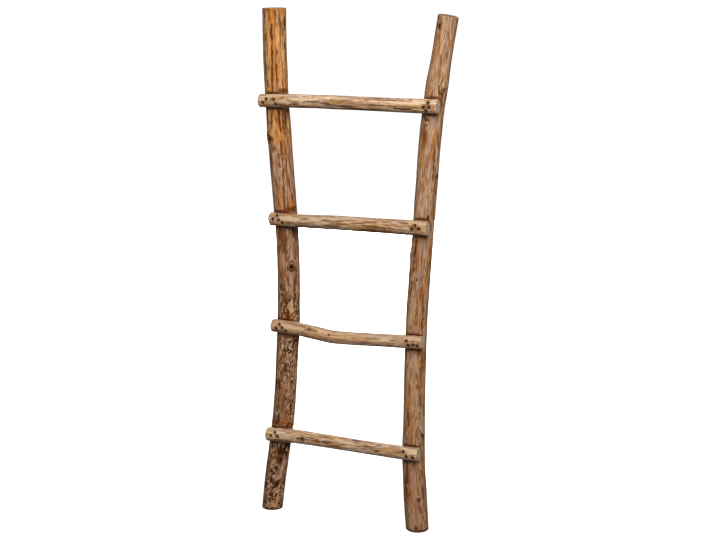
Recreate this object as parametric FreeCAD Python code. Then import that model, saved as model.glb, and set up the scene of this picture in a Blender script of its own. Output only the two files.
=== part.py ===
"""Rustic blanket ladder: two bent, peeled poles as rails and four thinner poles as rungs.

Each rung lies in a round-bottomed saddle gouged across the front of both rails, and is held there by
three or four square cut nails, whose heads are sunk in the pits that they cut on their way in.

Frame, in millimetres: +Z up along the ladder, +X to the right and +Y to the back, seen from the front,
where the rungs are. The origin is on the floor, in the middle of the ladder's outline.
"""

import FreeCAD
import Part
import math
import os
from collections import namedtuple

V = FreeCAD.Vector
UP = V(0, 0, 1)

# Rails ----------------------------------------------------------------------------------------------
RAIL_SPACING = 464.0  # between the two rails' reference lines
RAIL_LINE_Y = 13.0  # behind the origin, which leaves the rungs' fronts as far forward
LEFT_RAIL_LENGTH = 1534.0
RIGHT_RAIL_LENGTH = 1526.0
LEFT_RAIL_RADIUS = 34.4
RIGHT_RAIL_RADIUS = 32.0
RAIL_EDGE_EASE = 2.0  # chamfer round both sawn ends

# Rungs ----------------------------------------------------------------------------------------------
BOTTOM_RUNG_HEIGHT = 249.5
LOWER_RUNG_HEIGHT = 585.0
UPPER_RUNG_HEIGHT = 922.0
TOP_RUNG_HEIGHT = 1272.0
BOTTOM_RUNG_RADIUS = 20.4
LOWER_RUNG_RADIUS = 19.8
UPPER_RUNG_RADIUS = 21.4
TOP_RUNG_RADIUS = 20.4
RUNG_EDGE_EASE = 3.0  # chamfer round both sawn ends

# Saddles ----------------------------------------------------------------------------------------------
SADDLE_DEPTH = 14.0  # how far a rung sinks into a rail
SADDLE_EASE = 3.5  # the gouge's radius over the rung's
SEAT_GAP = 0.3  # between a rung's back and the floor of its saddle
SADDLE_OVERRUN = 40.0  # the gouge runs this far past the rung on both sides of the rail

# Nails ------------------------------------------------------------------------------------------------
NAIL_LENGTH = 60.0
NAIL_HEAD_WIDTH = 7.0
NAIL_HEAD_THICKNESS = 1.6
NAIL_SHANK_WIDTH = 3.0  # under the head
NAIL_TIP_WIDTH = 1.4  # the shank tapers to this
NAIL_SUNK = 1.2  # from the wood at the head's outer edge to the top of the head
NAIL_CLEARANCE = 0.05

# Wood -------------------------------------------------------------------------------------------------
RAIL_SECTION_STEP = 82.0  # between the sections that a bent stretch is drawn through
RUNG_SECTION_STEP = 60.0
JOINT_STRETCH = 30.0  # a rail is straight this far above and below a rung
JOINT_MARGIN = 8.0  # a rung is straight this far past a rail's inner side
KNOT_STRETCH = 21.0  # a rail is straight this far above and below a knot
KNOT_BALL = 0.72  # a knot's radius of curvature over its rail's radius
ARCS = 4  # in a section

# A pole's course is a few stations, in shares of its length. Each gives how far its heart strays there
# to the right (or up, on a rung) and to the back, and how much thicker it is than its radius.
Station = namedtuple("Station", "along stray back swell")
# A knot is the stump of a branch: its share of the rail's length, its bearing round the rail in degrees
# from the front towards the right, and how proud it stands.
Knot = namedtuple("Knot", "along bearing proud")
# A nail's place on its joint, from the middle of the rail to the right and from the rung's heart up.
Nail = namedtuple("Nail", "right up")

LEFT_RAIL_COURSE = (
    Station(0, -48, 0, -2.4),
    Station(0.065, -36.5, 1.5, -1.9),
    Station(0.096, -29.5, 2, -1.2),
    Station(0.201, -7, 4, -0.7),
    Station(0.331, 7.8, 3, 0),
    Station(0.449, 16, 0, 0.2),
    Station(0.559, 13, -2, 0.4),
    Station(0.657, 2.5, -3, 0.6),
    Station(0.787, -13, -1, 0.5),
    Station(0.898, -23.3, 2, 0.2),
    Station(1, -26, 4, 0),
)
RIGHT_RAIL_COURSE = (
    Station(0, -31, 0, 3.4),
    Station(0.054, -37, -1, 4.2),
    Station(0.136, -43.3, -2, 2.4),
    Station(0.221, -43, -3, 1.2),
    Station(0.366, -40, -1, 0),
    Station(0.444, -36.5, 2, -0.3),
    Station(0.582, -22.7, 4, -0.5),
    Station(0.674, -12.5, 3, -1.2),
    Station(0.752, -3.8, 1, -0.6),
    Station(0.818, 6.3, 0, -0.3),
    Station(0.874, 19, -1, 0),
    Station(0.916, 30, -2, -2.6),
    Station(1, 50.5, -3, -2.2),
)
LEFT_RAIL_KNOTS = (
    Knot(0.057, -20, 1.5),
    Knot(0.279, 152, 2.5),
    Knot(0.504, 22, 1.8),
    Knot(0.758, -48, 3),
)
RIGHT_RAIL_KNOTS = (
    Knot(0.199, 70, 2.6),
    Knot(0.548, -62, 1.8),
    Knot(0.647, 165, 2.4),
    Knot(0.878, 62, 2.5),
    Knot(0.963, -38, 1.4),
)

TOP_RUNG_COURSE = (
    Station(0, -4.5, 0, -0.9),
    Station(0.25, 0, 1, -0.6),
    Station(0.5, 1.5, 2, -0.2),
    Station(0.75, 2, 1, 0.3),
    Station(1, 3, 0, 0.8),
)
UPPER_RUNG_COURSE = (
    Station(0, -3, 0, -1.6),
    Station(0.2, -3, -1, -1.2),
    Station(0.42, 0, -2, 0.4),
    Station(0.7, 1, -1, 0.6),
    Station(1, 2, 0, 1.0),
)
LOWER_RUNG_COURSE = (
    Station(0, 8.5, 0, -0.4),
    Station(0.15, 5, 2, 0.2),
    Station(0.3, -3.2, 3, 0.8),
    Station(0.4, -9.2, 2, 0.4),
    Station(0.52, -8, 0, -0.2),
    Station(0.75, -2.5, -1, -0.4),
    Station(1, 2.5, 0, -0.2),
)
BOTTOM_RUNG_COURSE = (
    Station(0, -1, 0, 0.6),
    Station(0.2, 3, -1, 0.8),
    Station(0.4, 2, -1, -0.2),
    Station(0.6, -1, 1, -0.8),
    Station(0.8, -2, 1, -0.4),
    Station(1, -2, 0, 0.4),
)

Rail = namedtuple("Rail", "name line_x length radius course knots phase")
Rung = namedtuple(
    "Rung", "name height radius course left_overhang right_overhang left_nails right_nails phase"
)

LEFT_RAIL = Rail(
    "left_rail",
    -RAIL_SPACING / 2,
    LEFT_RAIL_LENGTH,
    LEFT_RAIL_RADIUS,
    LEFT_RAIL_COURSE,
    LEFT_RAIL_KNOTS,
    phase=0.4,
)
RIGHT_RAIL = Rail(
    "right_rail",
    RAIL_SPACING / 2,
    RIGHT_RAIL_LENGTH,
    RIGHT_RAIL_RADIUS,
    RIGHT_RAIL_COURSE,
    RIGHT_RAIL_KNOTS,
    phase=2.1,
)
# An overhang is how far a rung's end stands out past the rail's outer side. A negative one stops short.
RUNGS = (
    Rung(
        "top_rung",
        TOP_RUNG_HEIGHT,
        TOP_RUNG_RADIUS,
        TOP_RUNG_COURSE,
        left_overhang=1,
        right_overhang=-4,
        left_nails=(Nail(-18, -3), Nail(-8, 6), Nail(15, 6), Nail(21, -8)),
        right_nails=(Nail(2, 11), Nail(-10, -1), Nail(6, -1), Nail(-3, -11)),
        phase=0.9,
    ),
    Rung(
        "upper_middle_rung",
        UPPER_RUNG_HEIGHT,
        UPPER_RUNG_RADIUS,
        UPPER_RUNG_COURSE,
        left_overhang=-4,
        right_overhang=-3,
        left_nails=(Nail(-4, 12), Nail(-15, 3), Nail(4, 2), Nail(15, -4)),
        right_nails=(Nail(-5, 10), Nail(-14, 0), Nail(7, 2)),
        phase=2.2,
    ),
    Rung(
        "lower_middle_rung",
        LOWER_RUNG_HEIGHT,
        LOWER_RUNG_RADIUS,
        LOWER_RUNG_COURSE,
        left_overhang=-1,
        right_overhang=3,
        left_nails=(Nail(-4, 9), Nail(-14, -3), Nail(6, 1), Nail(17, -6)),
        right_nails=(Nail(-9, 6), Nail(-4, -6), Nail(11, -3), Nail(24, -6)),
        phase=3.7,
    ),
    Rung(
        "bottom_rung",
        BOTTOM_RUNG_HEIGHT,
        BOTTOM_RUNG_RADIUS,
        BOTTOM_RUNG_COURSE,
        left_overhang=-5,
        right_overhang=-2,
        left_nails=(Nail(4, 11), Nail(-8, 2), Nail(14, 2)),
        right_nails=(Nail(-12, 8), Nail(0, -4), Nail(20, -4)),
        phase=4.5,
    ),
)


# Poles ------------------------------------------------------------------------------------------------
Pole = namedtuple("Pole", "heart radius length stretches step end_ease phase")


def follow(course, length, along):
    """A course's station at a distance along a pole, on a cubic through its stations (Hermite, with the
    slopes of the chords on either side)."""
    share = along / length
    last = len(course) - 1
    i = max([k for k in range(last) if course[k].along <= share] or [0])
    a, b = course[i], course[i + 1]
    before, after = course[max(i - 1, 0)], course[min(i + 2, last)]
    span = b.along - a.along
    t = (share - a.along) / span
    h = (2 * t**3 - 3 * t**2 + 1, t**3 - 2 * t**2 + t, 3 * t**2 - 2 * t**3, t**3 - t**2)

    def value(field):
        start, end = getattr(a, field), getattr(b, field)
        slope_a = (end - getattr(before, field)) / (b.along - before.along)
        slope_b = (getattr(after, field) - start) / (after.along - a.along)
        return h[0] * start + h[1] * span * slope_a + h[2] * end + h[3] * span * slope_b

    return Station(share, value("stray"), value("back"), value("swell"))


def lobed(angle, along, phase):
    """How far a bent stretch is from round: two and three soft lobes that wind along it."""
    two = 0.024 * math.cos(2 * angle + phase + along / 300)
    three = 0.015 * math.cos(3 * angle - phase + along / 240)
    return 1 + two + three


def section(heart, run, radius_at):
    """A closed section of arcs round a heart point, square to run. radius_at gives it at each angle."""
    behind = (V(0, 1, 0) - run * run.y).normalize()
    across = behind.cross(run)
    points = []
    for k in range(2 * ARCS):
        angle = math.pi * k / ARCS
        points.append(heart + (across * math.cos(angle) + behind * math.sin(angle)) * radius_at(angle))
    points.append(points[0])
    return Part.Wire([Part.Arc(*points[k : k + 3]).toShape() for k in range(0, 2 * ARCS, 2)])


def round_section(heart, run, radius):
    return section(heart, run, lambda angle: radius)


def pole_solid(pole):
    """A pole shaved into straight runs. It is round along its stretches, where it is joined or has a
    knot, and drawn from section to section between them."""
    rounds = {}
    pieces = []
    for low, high in pole.stretches:
        reach = pole.heart(high) - pole.heart(low)
        radius = pole.radius((low + high) / 2)
        pieces.append(Part.makeCylinder(radius, reach.Length, pole.heart(low), reach))
        rounds[low] = rounds[high] = (reach.normalize(), radius)
    ends = [0.0] + [end for stretch in pole.stretches for end in stretch] + [pole.length]
    for low, high in zip(ends[::2], ends[1::2]):
        if high > low:
            pieces.append(bend(pole, low, high, rounds))
    return pieces[0].fuse(pieces[1:])


def bend(pole, low, high, rounds):
    """The bent part of a pole from low to high. It meets round stretches in their own end sections, and
    is flat at the foot, square to the pole at the top and eased round both of those."""
    count = max(1, round((high - low) / pole.step))
    sections = []
    for along in [low + (high - low) * k / count for k in range(count)] + [high]:
        heart, radius = pole.heart(along), pole.radius(along)
        run = (pole.heart(along + 1) - pole.heart(along - 1)).normalize()
        if along in rounds:
            sections.append(round_section(heart, *rounds[along]))
        elif along == 0:
            sections.append(round_section(heart, UP, radius - pole.end_ease))
            sections.append(round_section(pole.heart(pole.end_ease), UP, radius))
        elif along == pole.length:
            sections.append(round_section(heart - run * pole.end_ease, run, radius))
            sections.append(round_section(heart, run, radius - pole.end_ease))
        else:
            sections.append(section(heart, run, lambda angle: radius * lobed(angle, along, pole.phase)))
    return Part.makeLoft(sections, True, True)


# Rails ------------------------------------------------------------------------------------------------
def rail_heart(rail, z):
    s = follow(rail.course, rail.length, z)
    return V(rail.line_x + s.stray, RAIL_LINE_Y + s.back, z)


def rail_radius(rail, z):
    return rail.radius + follow(rail.course, rail.length, z).swell


def rail_solid(rail):
    """A rail before its saddles are gouged, with the stumps of its knots."""
    joints = [(rung.height - JOINT_STRETCH, rung.height + JOINT_STRETCH) for rung in RUNGS]
    knots = [(k.along * rail.length - KNOT_STRETCH, k.along * rail.length + KNOT_STRETCH) for k in rail.knots]
    pole = Pole(
        lambda z: rail_heart(rail, z),
        lambda z: rail_radius(rail, z),
        rail.length,
        sorted(joints + knots),
        RAIL_SECTION_STEP,
        RAIL_EDGE_EASE,
        rail.phase,
    )
    return pole_solid(pole).fuse([knot_stump(rail, knot) for knot in rail.knots])


def knot_stump(rail, knot):
    """A ball inside the rail, of which only the crown stands proud."""
    height = knot.along * rail.length
    bearing = math.radians(knot.bearing)
    ball = KNOT_BALL * rail.radius
    out = V(math.sin(bearing), -math.cos(bearing), 0)
    reach = rail_radius(rail, height) + knot.proud - ball
    return Part.makeSphere(ball, rail_heart(rail, height) + out * reach)


# Rungs ------------------------------------------------------------------------------------------------
def rung_pole(rung):
    """A rung's line: from the outer side of one rail to the outer side of the other, at the depth where
    it sinks SADDLE_DEPTH into both. It is straight and round where it lies in them."""
    left, right = rail_heart(LEFT_RAIL, rung.height), rail_heart(RIGHT_RAIL, rung.height)
    left_r, right_r = rail_radius(LEFT_RAIL, rung.height), rail_radius(RIGHT_RAIL, rung.height)
    start = left.x - left_r - rung.left_overhang
    length = right.x + right_r + rung.right_overhang - start

    def radius(along):
        return rung.radius + follow(rung.course, length, along).swell

    def heart(along):
        s = follow(rung.course, length, along)
        share = (start + along - left.x) / (right.x - left.x)
        left_y = left.y - left_r - radius(left.x - start) + SADDLE_DEPTH
        right_y = right.y - right_r - radius(right.x - start) + SADDLE_DEPTH
        # Its bow to the back fades out towards both saddles, so that it beds in them.
        bow = s.back * (4 * share * (1 - share)) ** 2 if 0 < share < 1 else 0.0
        return V(start + along, left_y + (right_y - left_y) * share + bow, rung.height + s.stray)

    left_reach = left.x + left_r + JOINT_MARGIN - start
    right_reach = right.x - right_r - JOINT_MARGIN - start
    return Pole(
        heart, radius, length, [(0.0, left_reach), (right_reach, length)], RUNG_SECTION_STEP, 0.0, rung.phase
    )


def rung_solid(rung):
    """A rung before it is nailed, with its sawn ends, which are its only flat faces, chamfered."""
    solid = pole_solid(rung_pole(rung))
    ends = [face for face in solid.Faces if isinstance(face.Surface, Part.Plane)]
    return solid.makeChamfer(RUNG_EDGE_EASE, [edge for face in ends for edge in face.Edges])


def gouge(pole, stretch):
    """What a saddle removes from a rail: the rung's stretch grown by the saddle's ease, run on past both
    ends, and brought forward so that the saddle's floor stays SEAT_GAP behind the rung."""
    low, high = pole.heart(stretch[0]), pole.heart(stretch[1])
    run = (high - low).normalize()
    base = low - run * SADDLE_OVERRUN + V(0, SEAT_GAP - SADDLE_EASE, 0)
    length = low.distanceToPoint(high) + 2 * SADDLE_OVERRUN
    return Part.makeCylinder(pole.radius(sum(stretch) / 2) + SADDLE_EASE, length, base, run)


# Nails ------------------------------------------------------------------------------------------------
def nail_place(pole, stretch, rail_x, nail):
    """The middle of a sunk head's top. NAIL_SUNK is measured at the edge that is farthest from the middle
    of the rung, where the wood falls away most, so that no head stands proud."""
    low, high = pole.heart(stretch[0]), pole.heart(stretch[1])
    x = rail_x + nail.right
    on_heart = low + (high - low) * ((x - low.x) / (high.x - low.x))
    outer_edge = abs(nail.up) + NAIL_HEAD_WIDTH / 2
    front = math.sqrt(pole.radius(sum(stretch) / 2) ** 2 - outer_edge**2)
    return on_heart + V(0, NAIL_SUNK - front, nail.up)


def cut_nail(grow=0.0, pit=0.0):
    """A square cut nail with its head's top at the origin, and its shank tapering to a blunt tip at the
    back. For its hole it is grown by a clearance, all but its head's seat, and its head by a pit."""
    head, shank, tip = (width / 2 + grow for width in (NAIL_HEAD_WIDTH, NAIL_SHANK_WIDTH, NAIL_TIP_WIDTH))
    end = NAIL_LENGTH + grow
    plate = Part.makeBox(2 * head, pit + NAIL_HEAD_THICKNESS, 2 * head, V(-head, -pit, -head))
    return plate.fuse(Part.makeWedge(-shank, 0, -shank, -tip, -tip, shank, end, shank, tip, tip))


# Assembly ---------------------------------------------------------------------------------------------
def main():
    os.makedirs("parts", exist_ok=True)
    rails = {rail: rail_solid(rail) for rail in (LEFT_RAIL, RIGHT_RAIL)}
    nodes = {}
    for rung in RUNGS:
        pole = rung_pole(rung)
        body = rung_solid(rung)
        nails = []
        for rail, stretch, driven in zip(rails, pole.stretches, (rung.left_nails, rung.right_nails)):
            rail_x = rail_heart(rail, rung.height).x
            places = [nail_place(pole, stretch, rail_x, nail) for nail in driven]
            holes = [cut_nail(NAIL_CLEARANCE, rung.radius).translated(place) for place in places]
            body = body.cut(holes)
            rails[rail] = rails[rail].cut([gouge(pole, stretch)] + holes)
            nails += [cut_nail().translated(place) for place in places]
        nodes[rung.name] = body
        nodes[f"{rung.name}_nails"] = Part.makeCompound(nails)
    nodes.update({rail.name: solid for rail, solid in rails.items()})
    for name, shape in sorted(nodes.items()):
        shape.exportStep(f"parts/{name}.step")
        print(f"{name}: {len(shape.Solids)} solid(s), {len(shape.Faces)} faces, valid {shape.isValid()}")


main()
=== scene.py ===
"""A rustic blanket ladder of six peeled poles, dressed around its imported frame.

Rails and rungs are skins worked out with numpy along the same lines as the frame's poles. Sizes are in
millimetres until a mesh is made, which is in metres. A place on a pole is told by the distance along it
and by a bearing round it: from the front towards the right on a rail, and towards the top on a rung.
"""

import math
from collections import namedtuple

import bpy
import numpy as np
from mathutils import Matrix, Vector


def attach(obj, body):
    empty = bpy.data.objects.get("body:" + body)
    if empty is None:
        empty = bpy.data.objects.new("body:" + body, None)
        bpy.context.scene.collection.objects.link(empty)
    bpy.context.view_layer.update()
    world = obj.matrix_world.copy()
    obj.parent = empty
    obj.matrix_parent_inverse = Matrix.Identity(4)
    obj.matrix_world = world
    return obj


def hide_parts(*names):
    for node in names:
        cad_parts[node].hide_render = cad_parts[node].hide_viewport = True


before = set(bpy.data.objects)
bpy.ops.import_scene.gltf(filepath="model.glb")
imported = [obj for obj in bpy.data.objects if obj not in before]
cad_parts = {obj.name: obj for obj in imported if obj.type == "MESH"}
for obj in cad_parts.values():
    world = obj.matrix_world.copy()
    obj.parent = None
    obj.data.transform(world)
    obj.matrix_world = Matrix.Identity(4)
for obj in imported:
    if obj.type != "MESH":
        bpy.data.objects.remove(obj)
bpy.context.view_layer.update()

MM = 0.001

# The joints' sizes, as the frame has them -----------------------------------------------------------
RAIL_SPACING = 464.0
RAIL_LINE_Y = 13.0
JOINT_STRETCH = 30.0
JOINT_MARGIN = 8.0
SADDLE_DEPTH = 14.0
SADDLE_EASE = 3.5
SEAT_GAP = 0.3
SADDLE_OVERRUN = 40.0
NAIL_HEAD_WIDTH = 7.0
NAIL_SHANK_WIDTH = 3.0
NAIL_TIP_WIDTH = 1.4
NAIL_LENGTH = 60.0
NAIL_SUNK = 1.2
NAIL_CLEARANCE = 0.05
NAIL_HEAD_THICKNESS = 1.6
NAIL_HALO_DEPTH = 6.0  # how far behind a head the wood is stained by it

# The skins' grids -----------------------------------------------------------------------------------
RAIL_COLUMNS = 112
RUNG_COLUMNS = 92
CAP_RINGS = 14
RAIL_ARRIS = 2.0  # the rounding of a sawn end's edge
RUNG_ARRIS = 3.6
ARRIS_ROWS = 5
FADE = 42.0  # from a joint's round stretch to where the pole is fully out of round
PIT_DEPTH = 22.0  # a nail's pit is cut from this far in front of its head
GOUGE_COLUMNS = 64
LEVEL_FOOT = 90.0  # over this height a rail's sections turn from level to square
TWO_LOBES, THREE_LOBES = 0.024, 0.015  # how far out of round a pole is, as shares of its radius
FLATS_RELIEF, FINE_RELIEF = 0.9, 0.22
GALLERY_DEPTH, CRACK_DEPTH, STREAK_DEPTH = 0.8, 1.8, 0.45
CHECK_DEPTH, SAW_MARKS = 1.3, 0.12  # on a sawn end
NAIL_STAIN_EDGE = (4.2, 7.2)  # round a nail, from fully stained to not at all
SMOOTHED_UP_TO = 38.0  # degrees between two faces

# A course's rows are the share of the length, stray to the right or up, stray to the back, and swell.
LEFT_RAIL_COURSE = np.array([
    (0, -48, 0, -2.4), (0.065, -36.5, 1.5, -1.9), (0.096, -29.5, 2, -1.2), (0.201, -7, 4, -0.7),
    (0.331, 7.8, 3, 0), (0.449, 16, 0, 0.2), (0.559, 13, -2, 0.4), (0.657, 2.5, -3, 0.6),
    (0.787, -13, -1, 0.5), (0.898, -23.3, 2, 0.2), (1, -26, 4, 0),
])
RIGHT_RAIL_COURSE = np.array([
    (0, -31, 0, 3.4), (0.054, -37, -1, 4.2), (0.136, -43.3, -2, 2.4), (0.221, -43, -3, 1.2),
    (0.366, -40, -1, 0), (0.444, -36.5, 2, -0.3), (0.582, -22.7, 4, -0.5), (0.674, -12.5, 3, -1.2),
    (0.752, -3.8, 1, -0.6), (0.818, 6.3, 0, -0.3), (0.874, 19, -1, 0), (0.916, 30, -2, -2.6),
    (1, 50.5, -3, -2.2),
])
TOP_RUNG_COURSE = np.array([
    (0, -4.5, 0, -0.9), (0.25, 0, 1, -0.6), (0.5, 1.5, 2, -0.2), (0.75, 2, 1, 0.3), (1, 3, 0, 0.8),
])
UPPER_RUNG_COURSE = np.array([
    (0, -3, 0, -1.6), (0.2, -3, -1, -1.2), (0.42, 0, -2, 0.4), (0.7, 1, -1, 0.6), (1, 2, 0, 1.0),
])
LOWER_RUNG_COURSE = np.array([
    (0, 8.5, 0, -0.4), (0.15, 5, 2, 0.2), (0.3, -3.2, 3, 0.8), (0.4, -9.2, 2, 0.4),
    (0.52, -8, 0, -0.2), (0.75, -2.5, -1, -0.4), (1, 2.5, 0, -0.2),
])
BOTTOM_RUNG_COURSE = np.array([
    (0, -1, 0, 0.6), (0.2, 3, -1, 0.8), (0.4, 2, -1, -0.2), (0.6, -1, 1, -0.8),
    (0.8, -2, 1, -0.4), (1, -2, 0, 0.4),
])

# A knot: distance along, bearing, radius of its core, how proud it stands, depth of the hole in it, and how
# dark it is.
Knot = namedtuple("Knot", "along bearing size proud hole dark")
# A mark: distance along, bearing, half its length, half its width, strength.
Mark = namedtuple("Mark", "along bearing reach width strength")
# A streak along the grain: its two ends' distances and bearings, half its width, strength.
Streak = namedtuple("Streak", "high low start end width strength")

Pole = namedtuple(
    "Pole",
    "name height heart radius length side stretches columns arris"
    " phase seed knots streaks stains oranges greys pales cracks",
)


# Arrays ---------------------------------------------------------------------------------------------
def smooth(low, high, value):
    """0 below low, 1 above high, and an S between them."""
    t = np.clip((value - low) / (high - low), 0.0, 1.0)
    return t * t * (3.0 - 2.0 * t)


def follow(course, length, along):
    """A course's stray, back and swell at distances along a pole: a cubic through its rows (Hermite, with
    the slopes of the chords on either side)."""
    share = np.clip(np.asarray(along, float) / length, 0.0, 1.0)
    at, values = course[:, 0], course[:, 1:]
    last = len(at) - 1
    after, before = np.minimum(np.arange(last + 1) + 1, last), np.maximum(np.arange(last + 1) - 1, 0)
    slopes = (values[after] - values[before]) / (at[after] - at[before])[:, None]
    i = np.clip(np.searchsorted(at, share, side="right") - 1, 0, last - 1)
    span = (at[i + 1] - at[i])[..., None]
    t = (share - at[i])[..., None] / span
    return (
        (2 * t**3 - 3 * t**2 + 1) * values[i]
        + (t**3 - 2 * t**2 + t) * span * slopes[i]
        + (3 * t**2 - 2 * t**3) * values[i + 1]
        + (t**3 - t**2) * span * slopes[i + 1]
    )


def hashed(x, y, z, seed):
    """A fixed number from -1 to 1 for each whole-numbered place, from wrapping multiplications."""
    h = x * np.uint32(0x8DA6B343) + y * np.uint32(0xD8163841) + z * np.uint32(0xCB1AB31F)
    h = h + np.uint32(seed * 0x9E3779B1 & 0xFFFFFFFF)
    h = (h ^ (h >> np.uint32(15))) * np.uint32(0x2C1B3C6D)
    h = (h ^ (h >> np.uint32(12))) * np.uint32(0x297A2D39)
    return (h ^ (h >> np.uint32(15))).astype(np.float64) / 2147483647.5 - 1.0


def noise(x, y, z, seed):
    """Value noise: hashed numbers at the eight whole places around each point, blended with an S."""
    whole = [np.floor(c) for c in (x, y, z)]
    fx, fy, fz = (smooth(0.0, 1.0, c - w) for c, w in zip((x, y, z), whole))
    ix, iy, iz = (w.astype(np.int64).astype(np.uint32) for w in whole)
    total = 0.0
    for dx, wx in ((0, 1 - fx), (1, fx)):
        for dy, wy in ((0, 1 - fy), (1, fy)):
            for dz, wz in ((0, 1 - fz), (1, fz)):
                corner = hashed(ix + np.uint32(dx), iy + np.uint32(dy), iz + np.uint32(dz), seed)
                total = total + wx * wy * wz * corner
    return total


def layers(x, y, z, seed):
    """Noise in three layers, each twice as fine and half as strong as the last."""
    return sum(noise(x * 2**k, y * 2**k, z * 2**k, seed + k) / 2**k for k in range(3))


def turned(bearing, middle):
    """The way round from middle, in degrees, to bearings in radians: from -pi to pi."""
    return (bearing - np.radians(middle) + math.pi) % (2 * math.pi) - math.pi


# Poles ----------------------------------------------------------------------------------------------
def unit(vectors):
    """Vectors made 1 long."""
    return vectors / np.linalg.norm(vectors, axis=-1, keepdims=True)


def nearness(low, high, along):
    """1 between low and high, and fading to 0 on both sides of them."""
    return 1.0 - smooth(0.0, FADE, np.maximum(low - along, along - high))


def rail_pole(name, line_x, length, radius, course, **rest):
    """A rail: its heart climbs the line_x line, straying as its course says."""

    def heart(z):
        f = follow(course, length, z)
        return np.stack([line_x + f[..., 0], RAIL_LINE_Y + f[..., 1], np.asarray(z, float)], -1)

    def thick(z):
        return radius + follow(course, length, z)[..., 2]

    joints = [(h - JOINT_STRETCH, h + JOINT_STRETCH) for h in RUNG_HEIGHTS]
    side = np.array([1.0, 0.0, 0.0])
    return Pole(name, 0.0, heart, thick, length, side, joints, RAIL_COLUMNS, RAIL_ARRIS, **rest)


def rung_pole(name, height, radius, course, left_overhang, right_overhang, **rest):
    """A rung: its heart runs from rail to rail, as deep as SADDLE_DEPTH says, and is straight and round
    where it lies in them. Between them it strays as its course says. It ends as far outside each rail's
    side as its overhang says, or short of it where that is below 0."""
    left, right = LEFT_RAIL.heart(height), RIGHT_RAIL.heart(height)
    left_r, right_r = float(LEFT_RAIL.radius(height)), float(RIGHT_RAIL.radius(height))
    start = left[0] - left_r - left_overhang
    length = right[0] + right_r + right_overhang - start
    stretches = [
        (0.0, left[0] + left_r + JOINT_MARGIN - start),
        (right[0] - right_r - JOINT_MARGIN - start, length),
    ]

    def free_radius(along):
        return radius + follow(course, length, along)[..., 2]

    left_y = left[1] - left_r - free_radius(left[0] - start) + SADDLE_DEPTH
    right_y = right[1] - right_r - free_radius(right[0] - start) + SADDLE_DEPTH

    def free_heart(along):
        f = follow(course, length, along)
        share = (start + along - left[0]) / (right[0] - left[0])
        inside = np.clip(share, 0.0, 1.0)
        y = left_y + (right_y - left_y) * share + f[..., 1] * (4 * inside * (1 - inside)) ** 2
        return np.stack([start + along, y, height + f[..., 0]], -1)

    def heart(along):
        along = np.asarray(along, float)
        line = free_heart(along)
        for low, high in stretches:
            ends = free_heart(np.array([low, high]))
            straight = ends[0] + (ends[1] - ends[0]) * ((along - low) / (high - low))[..., None]
            line = line + (straight - line) * nearness(low, high, along)[..., None]
        return line

    def thick(along):
        along = np.asarray(along, float)
        value = free_radius(along)
        for low, high in stretches:
            value = value + (free_radius((low + high) / 2) - value) * nearness(low, high, along)
        return value

    side = np.array([0.0, 0.0, 1.0])
    return Pole(name, height, heart, thick, length, side, stretches, RUNG_COLUMNS, RUNG_ARRIS, **rest)


def is_rail(pole):
    return pole.side[2] == 0.0


def run_at(pole, along):
    """A pole's direction, and the two directions square to it: to the back and to the side."""
    within = np.clip(along, 1.0, pole.length - 1.0)
    run = unit(pole.heart(within + 1.0) - pole.heart(within - 1.0))
    if is_rail(pole):  # its foot is sawn level with the floor
        level = (1.0 - smooth(0.0, LEVEL_FOOT, along))[..., None]
        run = unit(run + (np.array([0.0, 0.0, 1.0]) - run) * level)
    back = unit(np.array([0.0, 1.0, 0.0]) - run * run[..., 1:2])
    side = unit(pole.side - run * (run @ pole.side)[..., None])
    return run, back, side


def unrolled(pole, points):
    """Where points are on a pole: distance along it, bearing round it and distance from its heart. The
    distance along is settled in a few steps, each of which measures what is left along the run."""
    axis = 2 if is_rail(pole) else 0
    along = points[:, axis] - pole.heart(0.0)[axis]
    for _ in range(4):
        along = along + np.sum((points - pole.heart(along)) * run_at(pole, along)[0], -1)
    _, back, side = run_at(pole, along)
    out = points - pole.heart(along)
    x, y = np.sum(out * side, -1), -np.sum(out * back, -1)
    return along, np.arctan2(x, y), np.hypot(x, y)


def free_of_joints(pole, along):
    """0 on a pole's round stretches and 1 well away from them."""
    gap = np.full(np.shape(along), 1e9)
    for low, high in pole.stretches:
        gap = np.minimum(gap, np.maximum(low - along, along - high))
    return smooth(0.0, FADE, gap)


# The left rail is greyer below its biggest knot, the right one browner below its top rung.
AGED_BELOW = {"left_rail": (1095, 1160), "right_rail": (700, 1330)}
AGED_NOWHERE = (-200, -100)
Skin = namedtuple("Skin", "radius place knot gallery eaten crack stain streak orange grey pale age")


def patches(marks, along, bearing, base, rough):
    """The strongest of the marks at each place: an oval of each mark's reach and width, made ragged."""
    value = np.zeros_like(base)
    for m in marks:
        far = np.hypot(turned(bearing, m.bearing) * base / m.width, (along - m.along) / m.reach)
        value = np.maximum(value, m.strength * (1 - smooth(0.5, 1.2, far + rough)))
    return value


def lines(streaks, along, bearing, base, seed):
    """Streaks that wander about straight runs as the grain does, swell and thin, and taper at both ends."""
    value = np.zeros_like(base)
    still = np.zeros_like(along)
    wander = 1.3 * noise(along / 19, still, still, seed) + 0.6 * noise(along / 6, still, still, seed + 1)
    swell = 1.05 + 0.4 * noise(along / 8, still, still, seed + 2)
    for s in streaks:
        share = (s.high - along) / (s.high - s.low)
        taper = np.clip(4 * share * (1 - share), 1e-9, 1.0) ** 0.4
        across = np.abs(turned(bearing, s.start + (s.end - s.start) * share) * base + wander)
        drawn = 1 - smooth(0.7, 1.6, across / (s.width * swell * taper))
        value = np.maximum(value, s.strength * drawn * ((share > 0) & (share < 1)))
    return value


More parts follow.
